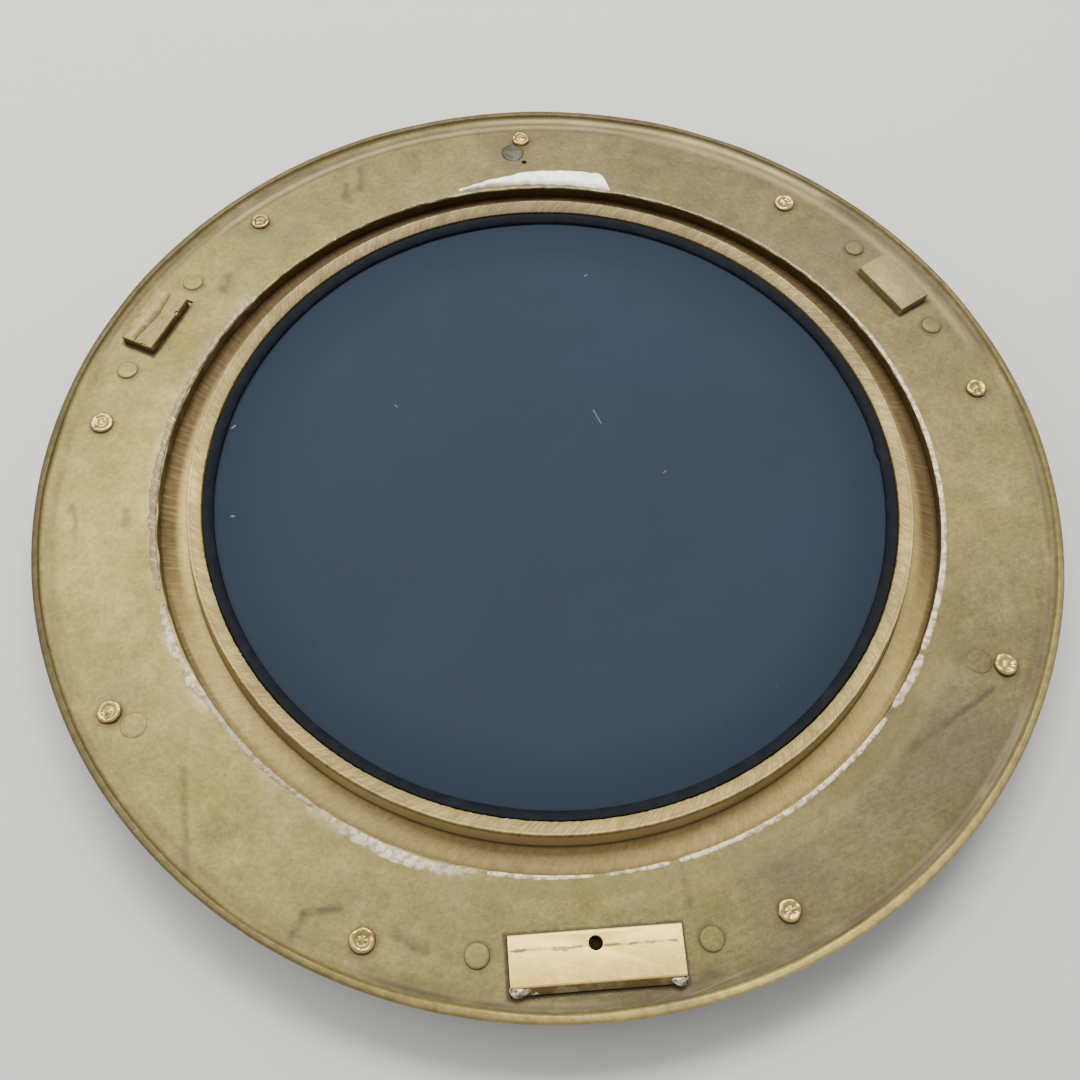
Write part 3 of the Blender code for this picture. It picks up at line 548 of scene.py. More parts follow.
def sash_material():
    g = Graph("old_turned_brass")
    grain = aged(g, g.around(g.wobbled(14.0, 0.04), *FLOOR, FLOOR_PALE), 0.05, 0.08, 0.12)

    # Fine concentric tool marks, crossed by short scratches
    line = g.node("CombineXYZ", g.times(g.radius, 2600.0)).outputs["Vector"]
    rings = g.noise(1.0, 2.0, 0.5, at=line)
    g.multiply(g.smooth(rings, 0.35, 0.7, 1.04, 0.90))
    cross = g.noise(1.0, 3.0, 0.6, at=g.hatched(0.0008, 0.007, 0.5))
    g.multiply(g.smooth(cross, 0.35, 0.65, 0.90, 1.08))

    # Painted shadow of the flange's edge on the floor under it, deepest on the far side, with ragged edges
    outer = g.smooth(g.radius, 0.1374, 0.1414)
    thin = g.smooth(g.radius, 0.1432, 0.1448)
    toward = g.toward(95.0)
    side = g.smooth(toward, -0.85, -0.4)
    far = g.smooth(toward, -0.62, -0.12)
    edge_shadow = g.most(g.times(outer, far), g.times(thin, side, 0.9), g.times(thin, 0.35))
    ragged = g.smooth(g.noise(1.0, 3.0, 0.6, at=g.hatched(0.0012, 0.012, 0.3)), 0.25, 0.6, 0.74, 1.0)
    g.coat((0.050, 0.029, 0.009), 0.94, edge_shadow, ragged, g.smooth(g.height, 0.0192, 0.0186))
    # A thin dark line in the corner at the foot of the ridge: painted shade
    g.coat((0.055, 0.035, 0.010), 0.65, g.ring(135.9, 0.2, 0.5), g.smooth(g.height, 0.0195, 0.0185))

    # The ridge: an outer wall darkened with painted shade and lightened with painted light on the near
    #     # side, and a chiselled top with a bright outer edge
    wall = g.times(g.smooth(g.height, 0.0190, 0.0200), g.smooth(g.height, 0.0276, 0.0268))
    wall = g.times(wall, g.smooth(g.radius, 0.1340, 0.1346))
    # Painted shade on the outer wall all round
    g.coat((0.10, 0.065, 0.02), 0.25, wall)
    # Painted light on the outer wall's near side
    g.coat((0.45, 0.34, 0.15), 0.85, wall, g.sectors((268.0, 26.0, 12.0), (315.0, 16.0, 12.0, 0.6)))
    top = g.times(g.smooth(g.height, 0.0256, 0.0264), g.smooth(g.radius, 0.1349, 0.1345))
    g.coat(g.around(g.wobbled(14.0, 0.04), *RIDGE, RIDGE_PALE), 1.0, top)
    hatch = g.noise(1.0, 4.0, 0.65, at=g.hatched(0.0010, 0.005, 0.9))
    coarse = g.noise(1.0, 3.0, 0.6, at=g.hatched(0.0040, 0.009, 0.4))
    for marks, depth in ((hatch, 0.30), (coarse, 0.14)):
        g.multiply(g.vary(g.times(top, g.math("SUBTRACT", marks, 0.5)), -0.2, 0.2, depth))
    g.coat((0.10, 0.07, 0.03), 0.42, g.ring(133.1, 0.2, 0.4), top)
    worn = g.smooth(g.noise(160.0, 4.0, 0.6), 0.46, 0.66)
    g.coat((0.45, 0.37, 0.22), 0.45, top, g.ring(134.2, 0.3, 0.4), worn)
    # Pale specks on the ridge's top: painted glints
    g.coat((0.48, 0.42, 0.29), 0.35, top, g.smooth(g.noise(900.0, 3.0, 0.6), 0.64, 0.72))
    roughness = g.smooth(g.noise(60.0, 4.0), 0.3, 0.7, 0.44, 0.58)
    chisel = g.times(top, hatch)
    bumps = [(rings, 0.10, 0.00012), (cross, 0.12, 0.00012), (chisel, 0.30, 0.0004), (grain, 0.15, 0.0001)]
    return g.finish(roughness, 0.50, bumps, 0.25)


def block_material(name, tone, flank_shading, top, angle, lines, streak):
    """Filed brass of a tenon, with painted light and shade on its sides; lines are (u, slope, from t, to t,
    half width, strength) in mm.
    """
    g = Graph(name)
    grain = aged(g, tone, 0.05, 0.08, 0.08)
    u, t = g.axes(g.wobbled(300.0, 0.0016), angle)
    file_marks = g.noise(1.0, 3.0, 0.6, at=g.stretched(math.degrees(angle) + 78.0, 0.012, 0.0005))
    g.multiply(g.smooth(file_marks, 0.35, 0.65, 1.04, 0.93))
    for centre, slope, low, high, half, strength in lines:
        track = g.math("SUBTRACT", u, g.math("ADD", g.times(t, slope), centre * MM))
        mark = g.smooth(g.math("ABSOLUTE", track), half * MM * 2.0, half * MM * 0.4)
        inside = g.times(g.smooth(t, (low - 1.0) * MM, low * MM), g.smooth(t, (high + 1.0) * MM, high * MM))
        g.coat(GRIME_AND_SHADE, strength, mark, inside, g.smooth(g.noise(300.0, 4.0, 0.6), 0.36, 0.56, 0.35, 1.0))
    g.coat(GRIME_AND_SHADE, streak, g.smooth(g.noise(150.0, 5.0, 0.65), 0.60, 0.74))
    # The sides below the top take the flank tones: painted shade, lighter with painted light where a side
    # faces the light
    side = g.smooth(g.height, (top - 0.25) * MM, (top - 0.65) * MM)
    lighter = g.smooth(g.noise(90.0, 4.0, 0.6), 0.50, 0.64)
    g.coat(g.mix(lighter, *flank_shading), 0.92, side)
    dents = g.noise(130.0, 5.0, 0.6)
    g.multiply(g.smooth(dents, 0.32, 0.68, 1.0 - 0.7 * streak, 1.0 + 0.5 * streak))
    bumps = [(file_marks, 0.05, 0.0001), (grain, 0.20, 0.00012), (dents, 1.6 * streak, 0.0009)]
    return g.finish(g.smooth(grain, 0.3, 0.7, 0.42, 0.56), 0.45, bumps, 0.3)


# What block_material is told of each tenon, in its own order: the hinge's tenon is bright and
# scratched, its brightness partly a painted highlight, the two others are dull; the second pair of
# tones is the painted light and shade of the sides
TENON_LOOKS = (
    (
        "filed_brass_hinge",
        (0.78, 0.54, 0.15),
        ((0.040, 0.029, 0.012), (0.13, 0.10, 0.05)),
        27.5,
        HINGE_ANGLE,
        ((168.0, 0.01, -26.0, 25.0, 0.30, 0.80), (168.9, 0.035, -26.0, -9.0, 0.22, 0.75)),
        0.10,
    ),
    (
        "filed_brass_right",
        (0.215, 0.165, 0.070),
        ((0.17, 0.125, 0.048), (0.33, 0.245, 0.095)),
        27.2,
        DOG_ANGLES["right"],
        (),
        0.22,
    ),
    (
        "filed_brass_left",
        (0.190, 0.140, 0.050),
        ((0.045, 0.031, 0.011), (0.16, 0.115, 0.040)),
        27.3,
        DOG_ANGLES["left"],
        (),
        0.30,
    ),
)


def plain_brass(name, tone, roughness, metallic, lumps=0.12):
    g = Graph(name)
    grain = aged(g, tone, 0.06, 0.08 + 0.35 * lumps, 0.10)
    wear = g.noise(220.0, 5.0, 0.6)
    bumps = [(wear, lumps, 0.0002 + 0.0012 * lumps), (grain, 0.10, 0.0001)]
    return g.finish(g.smooth(wear, 0.3, 0.7, *roughness), metallic, bumps)


def screw_material():
    """Burred golden ends, darkened with painted shade down in their cups and round their feet."""
    g = Graph("burred_brass")
    grain = aged(g, (0.34, 0.245, 0.080), 0.05, 0.16, 0.14)
    # Darker down in the cup and round the foot, in patches: painted shade
    patchy = g.smooth(g.noise(500.0, 3.0, 0.6), 0.35, 0.6, 0.5, 1.0)
    cup = g.times(g.smooth(g.height, 0.0247, 0.0243), patchy)
    g.coat(GRIME_AND_SHADE, 0.55, g.most(g.smooth(g.height, 0.0243, 0.0239), cup))
    wear = g.noise(420.0, 5.0, 0.6)
    bumps = [(wear, 0.45, 0.0004), (grain, 0.15, 0.0001)]
    return g.finish(g.smooth(wear, 0.3, 0.7, 0.22, 0.40), 0.80, bumps)


def rubber_material():
    g = Graph("old_black_rubber")
    dust = g.noise(150.0, 5.0, 0.6)
    grain = g.noise(1500.0, 4.0, 0.6)
    g.colour = g.mix(g.smooth(dust, 0.40, 0.75), (0.0056, 0.0070, 0.0090), (0.0102, 0.0120, 0.0146))
    g.coat((0.020, 0.023, 0.027), 0.3, g.smooth(grain, 0.62, 0.78))
    bumps = [(grain, 0.2, 0.00012), (dust, 0.15, 0.0003)]
    return g.finish(g.smooth(dust, 0.3, 0.7, 0.55, 0.70), 0.0, bumps, 0.035)


# Marks on the disc in metres: from x, y to x, y, and half the width
DISC_SPECKS = (
    (0.010, 0.098, 0.011, 0.099, 0.00020),
    (-0.123, 0.016, -0.122, 0.017, 0.00030),
    (-0.117, -0.022, -0.116, -0.022, 0.00030),
    (0.015, 0.032, 0.018, 0.026, 0.00010),
    (-0.062, 0.030, -0.061, 0.029, 0.00010),
    (0.042, 0.005, 0.043, 0.006, 0.00010),
)


def disc_material():
    g = Graph("slate_paint")
    cloud = g.noise(14.0, 5.0, 0.6, 0.5)
    fine = g.noise(1300.0, 3.0, 0.6)
    g.colour = g.mix(g.smooth(cloud, 0.35, 0.65), (0.0166, 0.0230, 0.0368), (0.0192, 0.0264, 0.0424))
    g.coat((0.030, 0.039, 0.056), 0.22, g.smooth(fine, 0.5, 0.8))
    # Darker towards the edge, beside the gasket: painted shade
    g.coat((0.0087, 0.0149, 0.0235), 0.55, g.smooth(g.radius, 0.095, 0.1235))
    at = g.wobbled(700.0, 0.0007)
    for x0, y0, x1, y1, width in DISC_SPECKS:
        g.coat((0.16, 0.18, 0.20), 0.70, g.stroke(at, (x0, y0), (x1, y1), width, 0.00020))
    g.coat((0.06, 0.07, 0.085), 0.25, g.smooth(g.noise(900.0, 1.0, 0.5), 0.745, 0.775))
    return g.finish(g.smooth(cloud, 0.3, 0.7, 0.60, 0.70), 0.0, [(fine, 0.10, 0.00008)], 0.06)


def mirror_material():
    g = Graph("mirror_silver")
    haze = g.noise(40.0, 4.0, 0.6)
    g.colour = g.mix(g.smooth(haze, 0.45, 0.75), (0.86, 0.88, 0.89), (0.78, 0.81, 0.82))
    return g.finish(g.smooth(haze, 0.4, 0.8, 0.02, 0.07), 1.0)


def sealant_material(name, shade_tone, tone):
    """Dried sealant: chalky where it is thick, silvery and streaked where it is worn, its pale streaks
    being painted glints.
    """
    g = Graph(name)
    share = g.node("Attribute", attribute_name="worn").outputs["Fac"]
    crumbs = g.noise(420.0, 5.0, 0.65)
    streaks = g.noise(1.0, 3.0, 0.6, at=g.hatched(0.0011, 0.005, 0.6))
    white = g.mix(g.smooth(crumbs, 0.40, 0.58), shade_tone, tone)
    # Where worn: dark streaks with pale ones between, which are painted glints
    old = g.mix(g.smooth(streaks, 0.55, 0.70), (0.14, 0.105, 0.044), (0.47, 0.39, 0.24))
    g.colour = g.mix(share, white, old)
    return g.finish(0.5, 0.0, [(crumbs, 0.30, 0.0004), (streaks, 0.25, 0.0003)], 0.4)


def solder_material():
    g = Graph("bright_solder")
    grain = g.noise(500.0, 5.0, 0.65)
    g.colour = g.mix(g.smooth(grain, 0.35, 0.65), (0.12, 0.10, 0.06), (0.50, 0.45, 0.34))
    return g.finish(g.smooth(grain, 0.3, 0.7, 0.22, 0.42), 0.85, [(grain, 0.6, 0.0006)])


# ---------------------------------------------------------------- shapes


def add_piece(name, mesh, material, body, nodes=(), sharp=35.0):
    """Links a mesh as a visible piece that rides on a body and may stand for CAD nodes."""
    piece = bpy.data.objects.new(name, mesh)
    bpy.context.scene.collection.objects.link(piece)
    mesh.materials.clear()
    mesh.materials.append(material)
    shade(mesh, sharp)
    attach(piece, body)
    if nodes:
        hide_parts(*nodes)
    return piece


def shade(mesh, sharp):
    mesh.polygons.foreach_set("use_smooth", np.ones(len(mesh.polygons), dtype=bool))
    mesh.set_sharp_from_angle(angle=math.radians(sharp))
    mesh.update()


def ripple(theta, seed, low, high, power=0.5):
    """Uneven but closed variation round the rim, about 1 in size."""
    chance = np.random.default_rng(seed)
    total = np.zeros_like(theta)
    size = 0.0
    for k in range(low, high + 1):
        weight = k**-power
        total += weight * np.cos(k * theta + chance.uniform(0.0, 2.0 * math.pi))
        size += weight * weight / 2.0
    return total / math.sqrt(size)


def bump(theta, centre, width):
    """A rise to 1 at one place of the rim; centre and width are in degrees."""
    return np.exp(-(((np.degrees(theta) - centre) / width) ** 2))


def filleted(corners, steps=4):
    """Profile points with each corner (r, z, fillet size) rounded, in mm."""
    points = []
    count = len(corners)
    for i, (r, z, fillet) in enumerate(corners):
        here = np.array((r, z))
        before = np.array(corners[i - 1][:2])
        after = np.array(corners[(i + 1) % count][:2])
        if fillet <= 0.0:
            points.append((r, z))
            continue
        back = before - here
        ahead = after - here
        reach = min(fillet, 0.48 * np.linalg.norm(back), 0.48 * np.linalg.norm(ahead))
        first = here + back / np.linalg.norm(back) * reach
        last = here + ahead / np.linalg.norm(ahead) * reach
        for step in range(steps + 1):
            s = step / steps
            point = (1 - s) ** 2 * first + 2 * s * (1 - s) * here + s * s * last
            points.append((float(point[0]), float(point[1])))
    return points


def ring_mesh(name, profile, steps, change=None):
    """A closed ring from a closed profile in mm; change(theta, r, z) may move its points."""
    theta = np.linspace(0.0, 2.0 * math.pi, steps, endpoint=False)
    r = np.array([p[0] for p in profile])[None, :] * np.ones((steps, 1))
    z = np.array([p[1] for p in profile])[None, :] * np.ones((steps, 1))
    if change is not None:
        r, z = change(theta[:, None], r, z)
    points = np.stack([r * np.cos(theta[:, None]), r * np.sin(theta[:, None]), z], -1) * MM
    count = len(profile)
    i, j = np.meshgrid(np.arange(steps), np.arange(count), indexing="ij")
    next_i = (i + 1) % steps
    next_j = (j + 1) % count
    quads = np.stack([i * count + j, next_i * count + j, next_i * count + next_j, i * count + next_j], -1)
    return closed_mesh(name, points.reshape(-1, 3).tolist(), quads.reshape(-1, 4).tolist())


def closed_mesh(name, points, faces):
    """A mesh from points in metres, with its faces turned outwards."""
    mesh = bpy.data.meshes.new(name)
    mesh.from_pydata(points, [], faces)
    work = bmesh.new()
    work.from_mesh(mesh)
    bmesh.ops.recalc_face_normals(work, faces=work.faces)
    work.to_mesh(mesh)
    work.free()
    return mesh


def tube_faces(rows, count, base=0):
    """Faces of a closed tube: rows of count points each, with a cap on both ends."""
    faces = []
    for a in range(base, base + (rows - 1) * count, count):
        for j in range(count):
            n = (j + 1) % count
            faces.append((a + j, a + n, a + count + n, a + count + j))
    last = base + (rows - 1) * count
    faces.append(tuple(reversed(range(base, base + count))))
    faces.append(tuple(range(last, last + count)))
    return faces


def mesh_from(work, name):
    """Turns a bmesh into a mesh and frees it."""
    mesh = bpy.data.meshes.new(name)
    work.to_mesh(mesh)
    work.free()
    return mesh


def modified(mesh, kind, **settings):
    """The mesh as one modifier leaves it."""
    holder = bpy.data.objects.new("holder", mesh)
    bpy.context.scene.collection.objects.link(holder)
    modifier = holder.modifiers.new("change", kind)
    for name, value in settings.items():
        setattr(modifier, name, value)
    depsgraph = bpy.context.evaluated_depsgraph_get()
    result = bpy.data.meshes.new_from_object(holder.evaluated_get(depsgraph))
    bpy.data.objects.remove(holder, do_unlink=True)
    return result


def lathe_mesh(name, profile, steps, place=None):
    """A turned solid whose open profile starts and ends on its axis, in mm."""
    points = [(0.0, 0.0, profile[0][1])]
    rows = profile[1:-1]
    for r, z in rows:
        for k in range(steps):
            a = 2.0 * math.pi * k / steps
            points.append((r * math.cos(a), r * math.sin(a), z))
    points.append((0.0, 0.0, profile[-1][1]))
    faces = []
    for k in range(steps):
        n = (k + 1) % steps
        faces.append((0, 1 + k, 1 + n))
        for row in range(len(rows) - 1):
            a = 1 + row * steps
            b = a + steps
            faces.append((a + k, b + k, b + n, a + n))
        last = 1 + (len(rows) - 1) * steps
        faces.append((last + k, len(points) - 1, last + n))
    mesh = closed_mesh(name, [tuple(c * MM for c in p) for p in points], faces)
    if place is not None:
        mesh.transform(place)
    return mesh


def box_cutter(name, angle, middle, half_x, half_y, low, high, first=None, last=None):
    """An upright box in the frame at an angle; first and last may set its ends across."""
    work = bmesh.new()
    first = -half_y if first is None else first
    last = half_y if last is None else last
    size = Matrix.Diagonal((2 * half_x * MM, (last - first) * MM, (high - low) * MM, 1.0))
    shift = Matrix.Translation((middle * MM, (first + last) / 2.0 * MM, (high + low) / 2.0 * MM))
    bmesh.ops.create_cube(work, size=1.0, matrix=Matrix.Rotation(angle, 4, "Z") @ shift @ size)
    return mesh_from(work, name)


def cut(mesh, cutters):
    """Takes closed meshes, which must not overlap one another, out of a mesh."""
    work = bmesh.new()
    for cutter in cutters:
        work.from_mesh(cutter)
    tool = bpy.data.objects.new("cut_tools", mesh_from(work, "cut_tools"))
    bpy.context.scene.collection.objects.link(tool)
    result = modified(mesh, "BOOLEAN", operation="DIFFERENCE", solver="EXACT", object=tool)
    bpy.data.objects.remove(tool, do_unlink=True)
    return result


def softened_copy(node, width_mm, segments=2):
    """The mesh of a CAD node, joined up again and with its edges rounded."""
    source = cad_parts[node]
    work = bmesh.new()
    work.from_mesh(source.data)
    bmesh.ops.remove_doubles(work, verts=work.verts, dist=0.000004)
    bmesh.ops.dissolve_limit(work, angle_limit=math.radians(1.0), verts=work.verts, edges=work.edges)
    settings = {
        "width": width_mm * MM,
        "segments": segments,
        "limit_method": "ANGLE",
        "angle_limit": math.radians(35.0),
        "use_clamp_overlap": True,
    }
    return modified(mesh_from(work, node + "_soft"), "BEVEL", **settings)


# ---------------------------------------------------------------- flange


FLANGE_PROFILE = [
    (184.2, FLANGE_BACK, 2.4),
    (186.5, 24.4, 0.9),
    (187.4, LIP_TOP, 0.6),
    (189.5, LIP_TOP, 1.0),
    (190.0, 24.4, 0.9),
    (189.9, 22.9, 0.9),
    (188.7, 21.3, 0.9),
    (186.0, 19.9, 1.2),
    (182.5, 19.0, 1.4),
    (178.0, FLANGE_FRONT, 2.0),
    (HOLE_RADIUS, FLANGE_FRONT, 0.3),
    (HOLE_RADIUS, FLANGE_BACK, 0.7),
]


def flange_change(theta, r, z):
    """The lip is hand finished, so its crest wanders a little; the opening's edge is worn."""
    lip = np.clip((r - 185.0) / 3.0, 0.0, 1.0) * np.clip((z - 23.4) / 1.5, 0.0, 1.0)
    inner = np.clip((189.3 - r) / 1.5, 0.0, 1.0)
    r = r + lip * inner * 0.22 * ripple(theta, 5, 2, 26, 0.6)
    z = z - lip * 0.10 * (1.0 + ripple(theta, 6, 3, 40, 0.5))
    z = z - lip * 0.55 * bump(theta, 272.2, 0.35)  # a nick
    edge = np.clip((150.0 - r) / 4.0, 0.0, 1.0) * (z > 21.0)
    r = r + edge * 0.16 * ripple(theta, 7, 4, 120, 0.4)
    return r, np.minimum(z, LIP_TOP)


# Cutters of the flange, in mm: from below it to above its lip, and the radii of round holes
THROUGH = (17.0, 27.0)
RIVET_HOLE = 3.95
SCREW_HOLE = 3.2
# The small pit beside the first plug, and the notch beside the left tenon
PIT_PLACE = (160.8, 96.4)
PIT_PROFILE = ((0.0, 30.0), (1.25, 30.0), (1.1, 22.4), (0.0, 22.0))
NOTCH = (166.9, 1.7, 15.0, 22.6, 27.1, -15.6, -12.5)


def rod_cutter(name, place, radius, low=15.0, high=30.0):
    profile = [(0.0, high), (radius, high), (radius, low), (0.0, low)]
    return lathe_mesh(name, profile, 40, Matrix.Translation((*place, 0.0)))


def make_flange(material):
    mesh = ring_mesh("flange_fine", filleted(FLANGE_PROFILE, 4), 900, flange_change)
    cutters = [box_cutter("slot", angle, *slot, *THROUGH) for angle, slot, clean in TENONS]
    for place in centres("bracket_rivet", RIVETS):
        cutters.append(rod_cutter("rivet_hole", place, RIVET_HOLE))
    for place, size, rise in PLUGS:
        cutters.append(rod_cutter("plug_hole", polar(*place), size - 0.05))
    for place in centres("flange_screw", SCREWS):
        cutters.append(rod_cutter("screw_hole", place, SCREW_HOLE))
    pit = Matrix.Translation((*polar(*PIT_PLACE), 0.0))
    cutters.append(lathe_mesh("small_pit", PIT_PROFILE, 24, pit))
    notch = box_cutter("notch", DOG_ANGLES["left"], *NOTCH)
    mesh = cut(cut(mesh, cutters), [notch])
    add_piece("flange_fine", mesh, material, "flange", ["flange"], 28.0)


# Outer radius, depth of the cup, its radius and the height of the peg left in it, in mm
SCREW_ENDS = (
    (4.05, 0.65, 2.0, 0.50),
    (4.35, 0.60, 2.5, 0.05),
    (3.70, 0.75, 2.3, 0.25),
    (3.85, 0.85, 2.4, 0.05),
    (4.40, 0.60, 2.5, 0.65),
    (4.10, 0.60, 2.3, 0.45),
    (4.15, 0.70, 2.3, 0.10),
    (3.85, 0.40, 2.0, 0.20),
    (4.15, 0.45, 2.1, 0.25),
)


def make_screws(material):
    """Screws whose cupped ends are burred over, each a little different from the next."""
    chance = np.random.default_rng(21)
    for i, (size, depth, cup, peg) in enumerate(SCREW_ENDS, 1):
        x, y = centre_of(f"flange_screw_{i}")
        top = 25.0 + chance.uniform(-0.15, 0.15)
        profile = [
            (0.0, top - depth + peg),
            (0.35 * cup, top - depth + 0.85 * peg),
            (0.60 * cup, top - depth + 0.20 * peg),
            (0.80 * cup, top - depth),
            (cup, top - 0.5 * depth),
            (cup + 0.25, top - 0.14),
            (0.78 * size, top),
            (0.90 * size, top - 0.12),
            (0.98 * size, top - 0.45),
            (size, top - 0.9),
            (size, 23.62),
            (3.05, 23.62),
            (3.05, 18.5),
            (6.35, 18.5),
            (6.5, 18.3),
            (6.5, 17.6),
            (6.2, 16.8),
            (5.5, 15.9),
            (4.5, 15.1),
            (3.2, 14.6),
            (1.6, 14.35),
            (0.0, 14.3),
        ]
        name = f"screw_{i}_fine"
        mesh = lathe_mesh(name, profile, 48)
        points = np.empty(len(mesh.vertices) * 3)
        mesh.vertices.foreach_get("co", points)
        points = points.reshape(-1, 3)
        angle = np.arctan2(points[:, 1], points[:, 0])
        upper = np.clip((points[:, 2] / MM - 23.8) / 0.6, 0.0, 1.0)
        points[:, 2] += upper * ripple(angle, 40 + i, 1, 8, 0.5) * 0.10 * MM
        points[:, :2] *= (1.0 + upper * 0.030 * ripple(angle, 60 + i, 1, 7, 0.5))[:, None]
        mesh.vertices.foreach_set("co", points.ravel())
        mesh.transform(Matrix.Translation((x, y, 0.0)))
        add_piece(name, mesh, material, "flange", [f"flange_screw_{i}"], 50.0)


# The three flush plugs: (radius, degrees), their own radius and how far they rise, in mm
PLUGS = (((166.7, 98.0), 5.0, 0.45), ((171.0, 217.0), 4.6, 0.22), ((165.8, 336.6), 4.6, 0.20))


def make_rivets(material):
    """Rivets of the brackets, filed nearly flush with the back."""
    chance = np.random.default_rng(22)
    for i, centre in enumerate(centres("bracket_rivet", RIVETS), 1):
        top = FLANGE_BACK + chance.uniform(0.62, 0.80)
        profile = [
            (0.0, top),
            (2.6, top - 0.02),
            (3.3, top - 0.06),
            (3.7, top - 0.16),
            (3.95, top - 0.40),
            (4.05, top - 0.9),
            (4.05, 15.9),
            (5.1, 15.9),
            (5.2, 15.7),
            (5.0, 15.0),
            (4.2, 14.3),
            (2.8, 13.9),
            (0.0, 13.8),
        ]
        place = Matrix.Translation((*centre, 0.0))
        tilt = Matrix.Rotation(chance.uniform(-0.012, 0.012), 4, "X")
        mesh = lathe_mesh(f"rivet_{i}_fine", profile, 40, place @ tilt)
        add_piece(f"rivet_{i}_fine", mesh, material, "flange", [f"bracket_rivet_{i}"], 50.0)


def make_plugs(material, dull):
    """Plugs that close feeder holes in the casting; the first is lumpy and dark."""
    for i, (place, size, rise) in enumerate(PLUGS, 1):
        top = FLANGE_BACK + rise
        profile = [
            (0.0, top + 0.1 * rise),
            (0.30 * size, top),
            (0.60 * size, top - 0.05 * rise),
            (size - 0.5, top - 0.15 * rise),
            (size - 0.15, top - 0.6 * rise),
            (size, top - rise - 0.1),
            (size, 18.75),
            (0.0, 18.75),
        ]
        mesh = lathe_mesh(f"plug_{i}_fine", profile, 48)
        for vertex in mesh.vertices:
            angle = math.atan2(vertex.co.y, vertex.co.x)
            if vertex.co.z > FLANGE_BACK * MM:
                vertex.co.z += rise * MM * (0.25 * math.sin(2.0 * angle + i) + 0.15 * math.sin(5.0 * angle))
        mesh.transform(Matrix.Translation((*polar(*place), 0.0)))
        look = dull if i == 1 else material
        add_piece(f"plug_{i}_fine", mesh, look, "flange", [f"core_plug_{i}"], 50.0)


def lump_mesh(name, centre, size, angle, seed):
    """A small irregular drop of metal; centre and size are in mm in the hardware's frame."""
    work = bmesh.new()
    bmesh.ops.create_icosphere(work, subdivisions=3, radius=1.0)
    for vertex in work.verts:
        a = math.atan2(vertex.co.y, vertex.co.x)
        swell = 1.0 + 0.16 * math.sin(3.0 * a + seed) + 0.10 * math.sin(7.0 * vertex.co.z + 2.0 * a + seed)
        vertex.co *= swell
    mesh = mesh_from(work, name)
    shape = Matrix.Diagonal((size[0] * MM, size[1] * MM, size[2] * MM, 1.0))
    place = Matrix.Translation([c * MM for c in centre])
    mesh.transform(Matrix.Rotation(angle, 4, "Z") @ place @ shape)
    return mesh


# The crack along the left tenon: (across, outwards, half width) in mm
CRACK = (
    (-14.0, 172.9, 0.42),
    (-11.0, 172.8, 0.46),
    (-8.0, 172.3, 0.40),
    (-5.0, 172.1, 0.44),
    (-2.5, 171.6, 0.34),
    (0.0, 171.8, 0.26),
    (2.0, 172.0, 0.30),
    (4.5, 172.5, 0.20),
    (7.0, 172.6, 0.26),
    (9.5, 173.2, 0.20),
    (12.0, 173.3, 0.24),
    (14.0, 173.6, 0.22),
)


def prism_mesh(name, rows, angle):
    """A closed strip along Y; each row is (y, ((x, z), ...)) in mm in the frame at an angle."""
    points = []
    for y, section in rows:
        points += [(x * MM, y * MM, z * MM) for x, z in section]
    mesh = closed_mesh(name, points, tube_faces(len(rows), len(rows[0][1])))
    mesh.transform(Matrix.Rotation(angle, 4, "Z"))
    return mesh


def cracked_tenon():
    """The left bracket: its tenon is split lengthwise and its outer half is worn lower."""
    angle = DOG_ANGLES["left"]
    groove = []
    worn = []
    for y, x, half in CRACK:
        left, right = x - half, x + half
        groove.append((y, ((left, 28.6), (right, 28.6), (right, 27.9), (x + 0.1, 26.7), (left, 27.9))))
        low = 27.95 - 0.60 * (14.0 - y) / 28.0
        worn.append((y, ((x, 28.7), (180.0, 28.7), (180.0, low), (177.6, low), (x, low))))
    nicks = [
        box_cutter("nick", angle, 166.0, 0.55, 1.0, 27.3, 29.0, -6.5, -4.9),
        box_cutter("nick_end", angle, 169.0, 1.4, 1.0, 27.5, 29.0, 12.7, 14.0),
    ]
    mesh = softened_copy("dog_bracket_left", 0.4)
    for cutter in (prism_mesh("groove", groove, angle), prism_mesh("worn", worn, angle), *nicks):
        mesh = cut(mesh, [cutter])
    return mesh


def make_brackets(tenons, solder, bright):
    brackets = (
        ("hinge_bracket", softened_copy("hinge_bracket", 0.45, 3), "pale_brass", 35.0),
        ("dog_bracket_right", softened_copy("dog_bracket_right", 0.4), "cast_brass", 35.0),
        ("dog_bracket_left", cracked_tenon(), "cast_brass", 20.0),
    )
    for material, (node, mesh, slot, sharp) in zip(tenons, brackets):
        add_piece(node + "_fine", mesh, material, "flange", [node], sharp)
    corners = (
        ("solder_left", (179.6, 24.8, 25.7), (1.5, 2.6, 1.0), 1.0),
        ("solder_right", (179.4, -24.2, 25.9), (1.6, 3.3, 1.1), 2.4),
        ("solder_right_small", (179.9, -20.0, 25.0), (0.8, 1.6, 0.7), 4.0),
    )
    for name, centre, size, seed in corners:
        add_piece(name, lump_mesh(name, centre, size, HINGE_ANGLE, seed), solder, "flange")
    for node in ("hinge_pin", "dog_pin_right", "dog_pin_left"):
        add_piece(node + "_fine", softened_copy(node, 0.25), bright, "flange", [node])


# ---------------------------------------------------------------- sealant


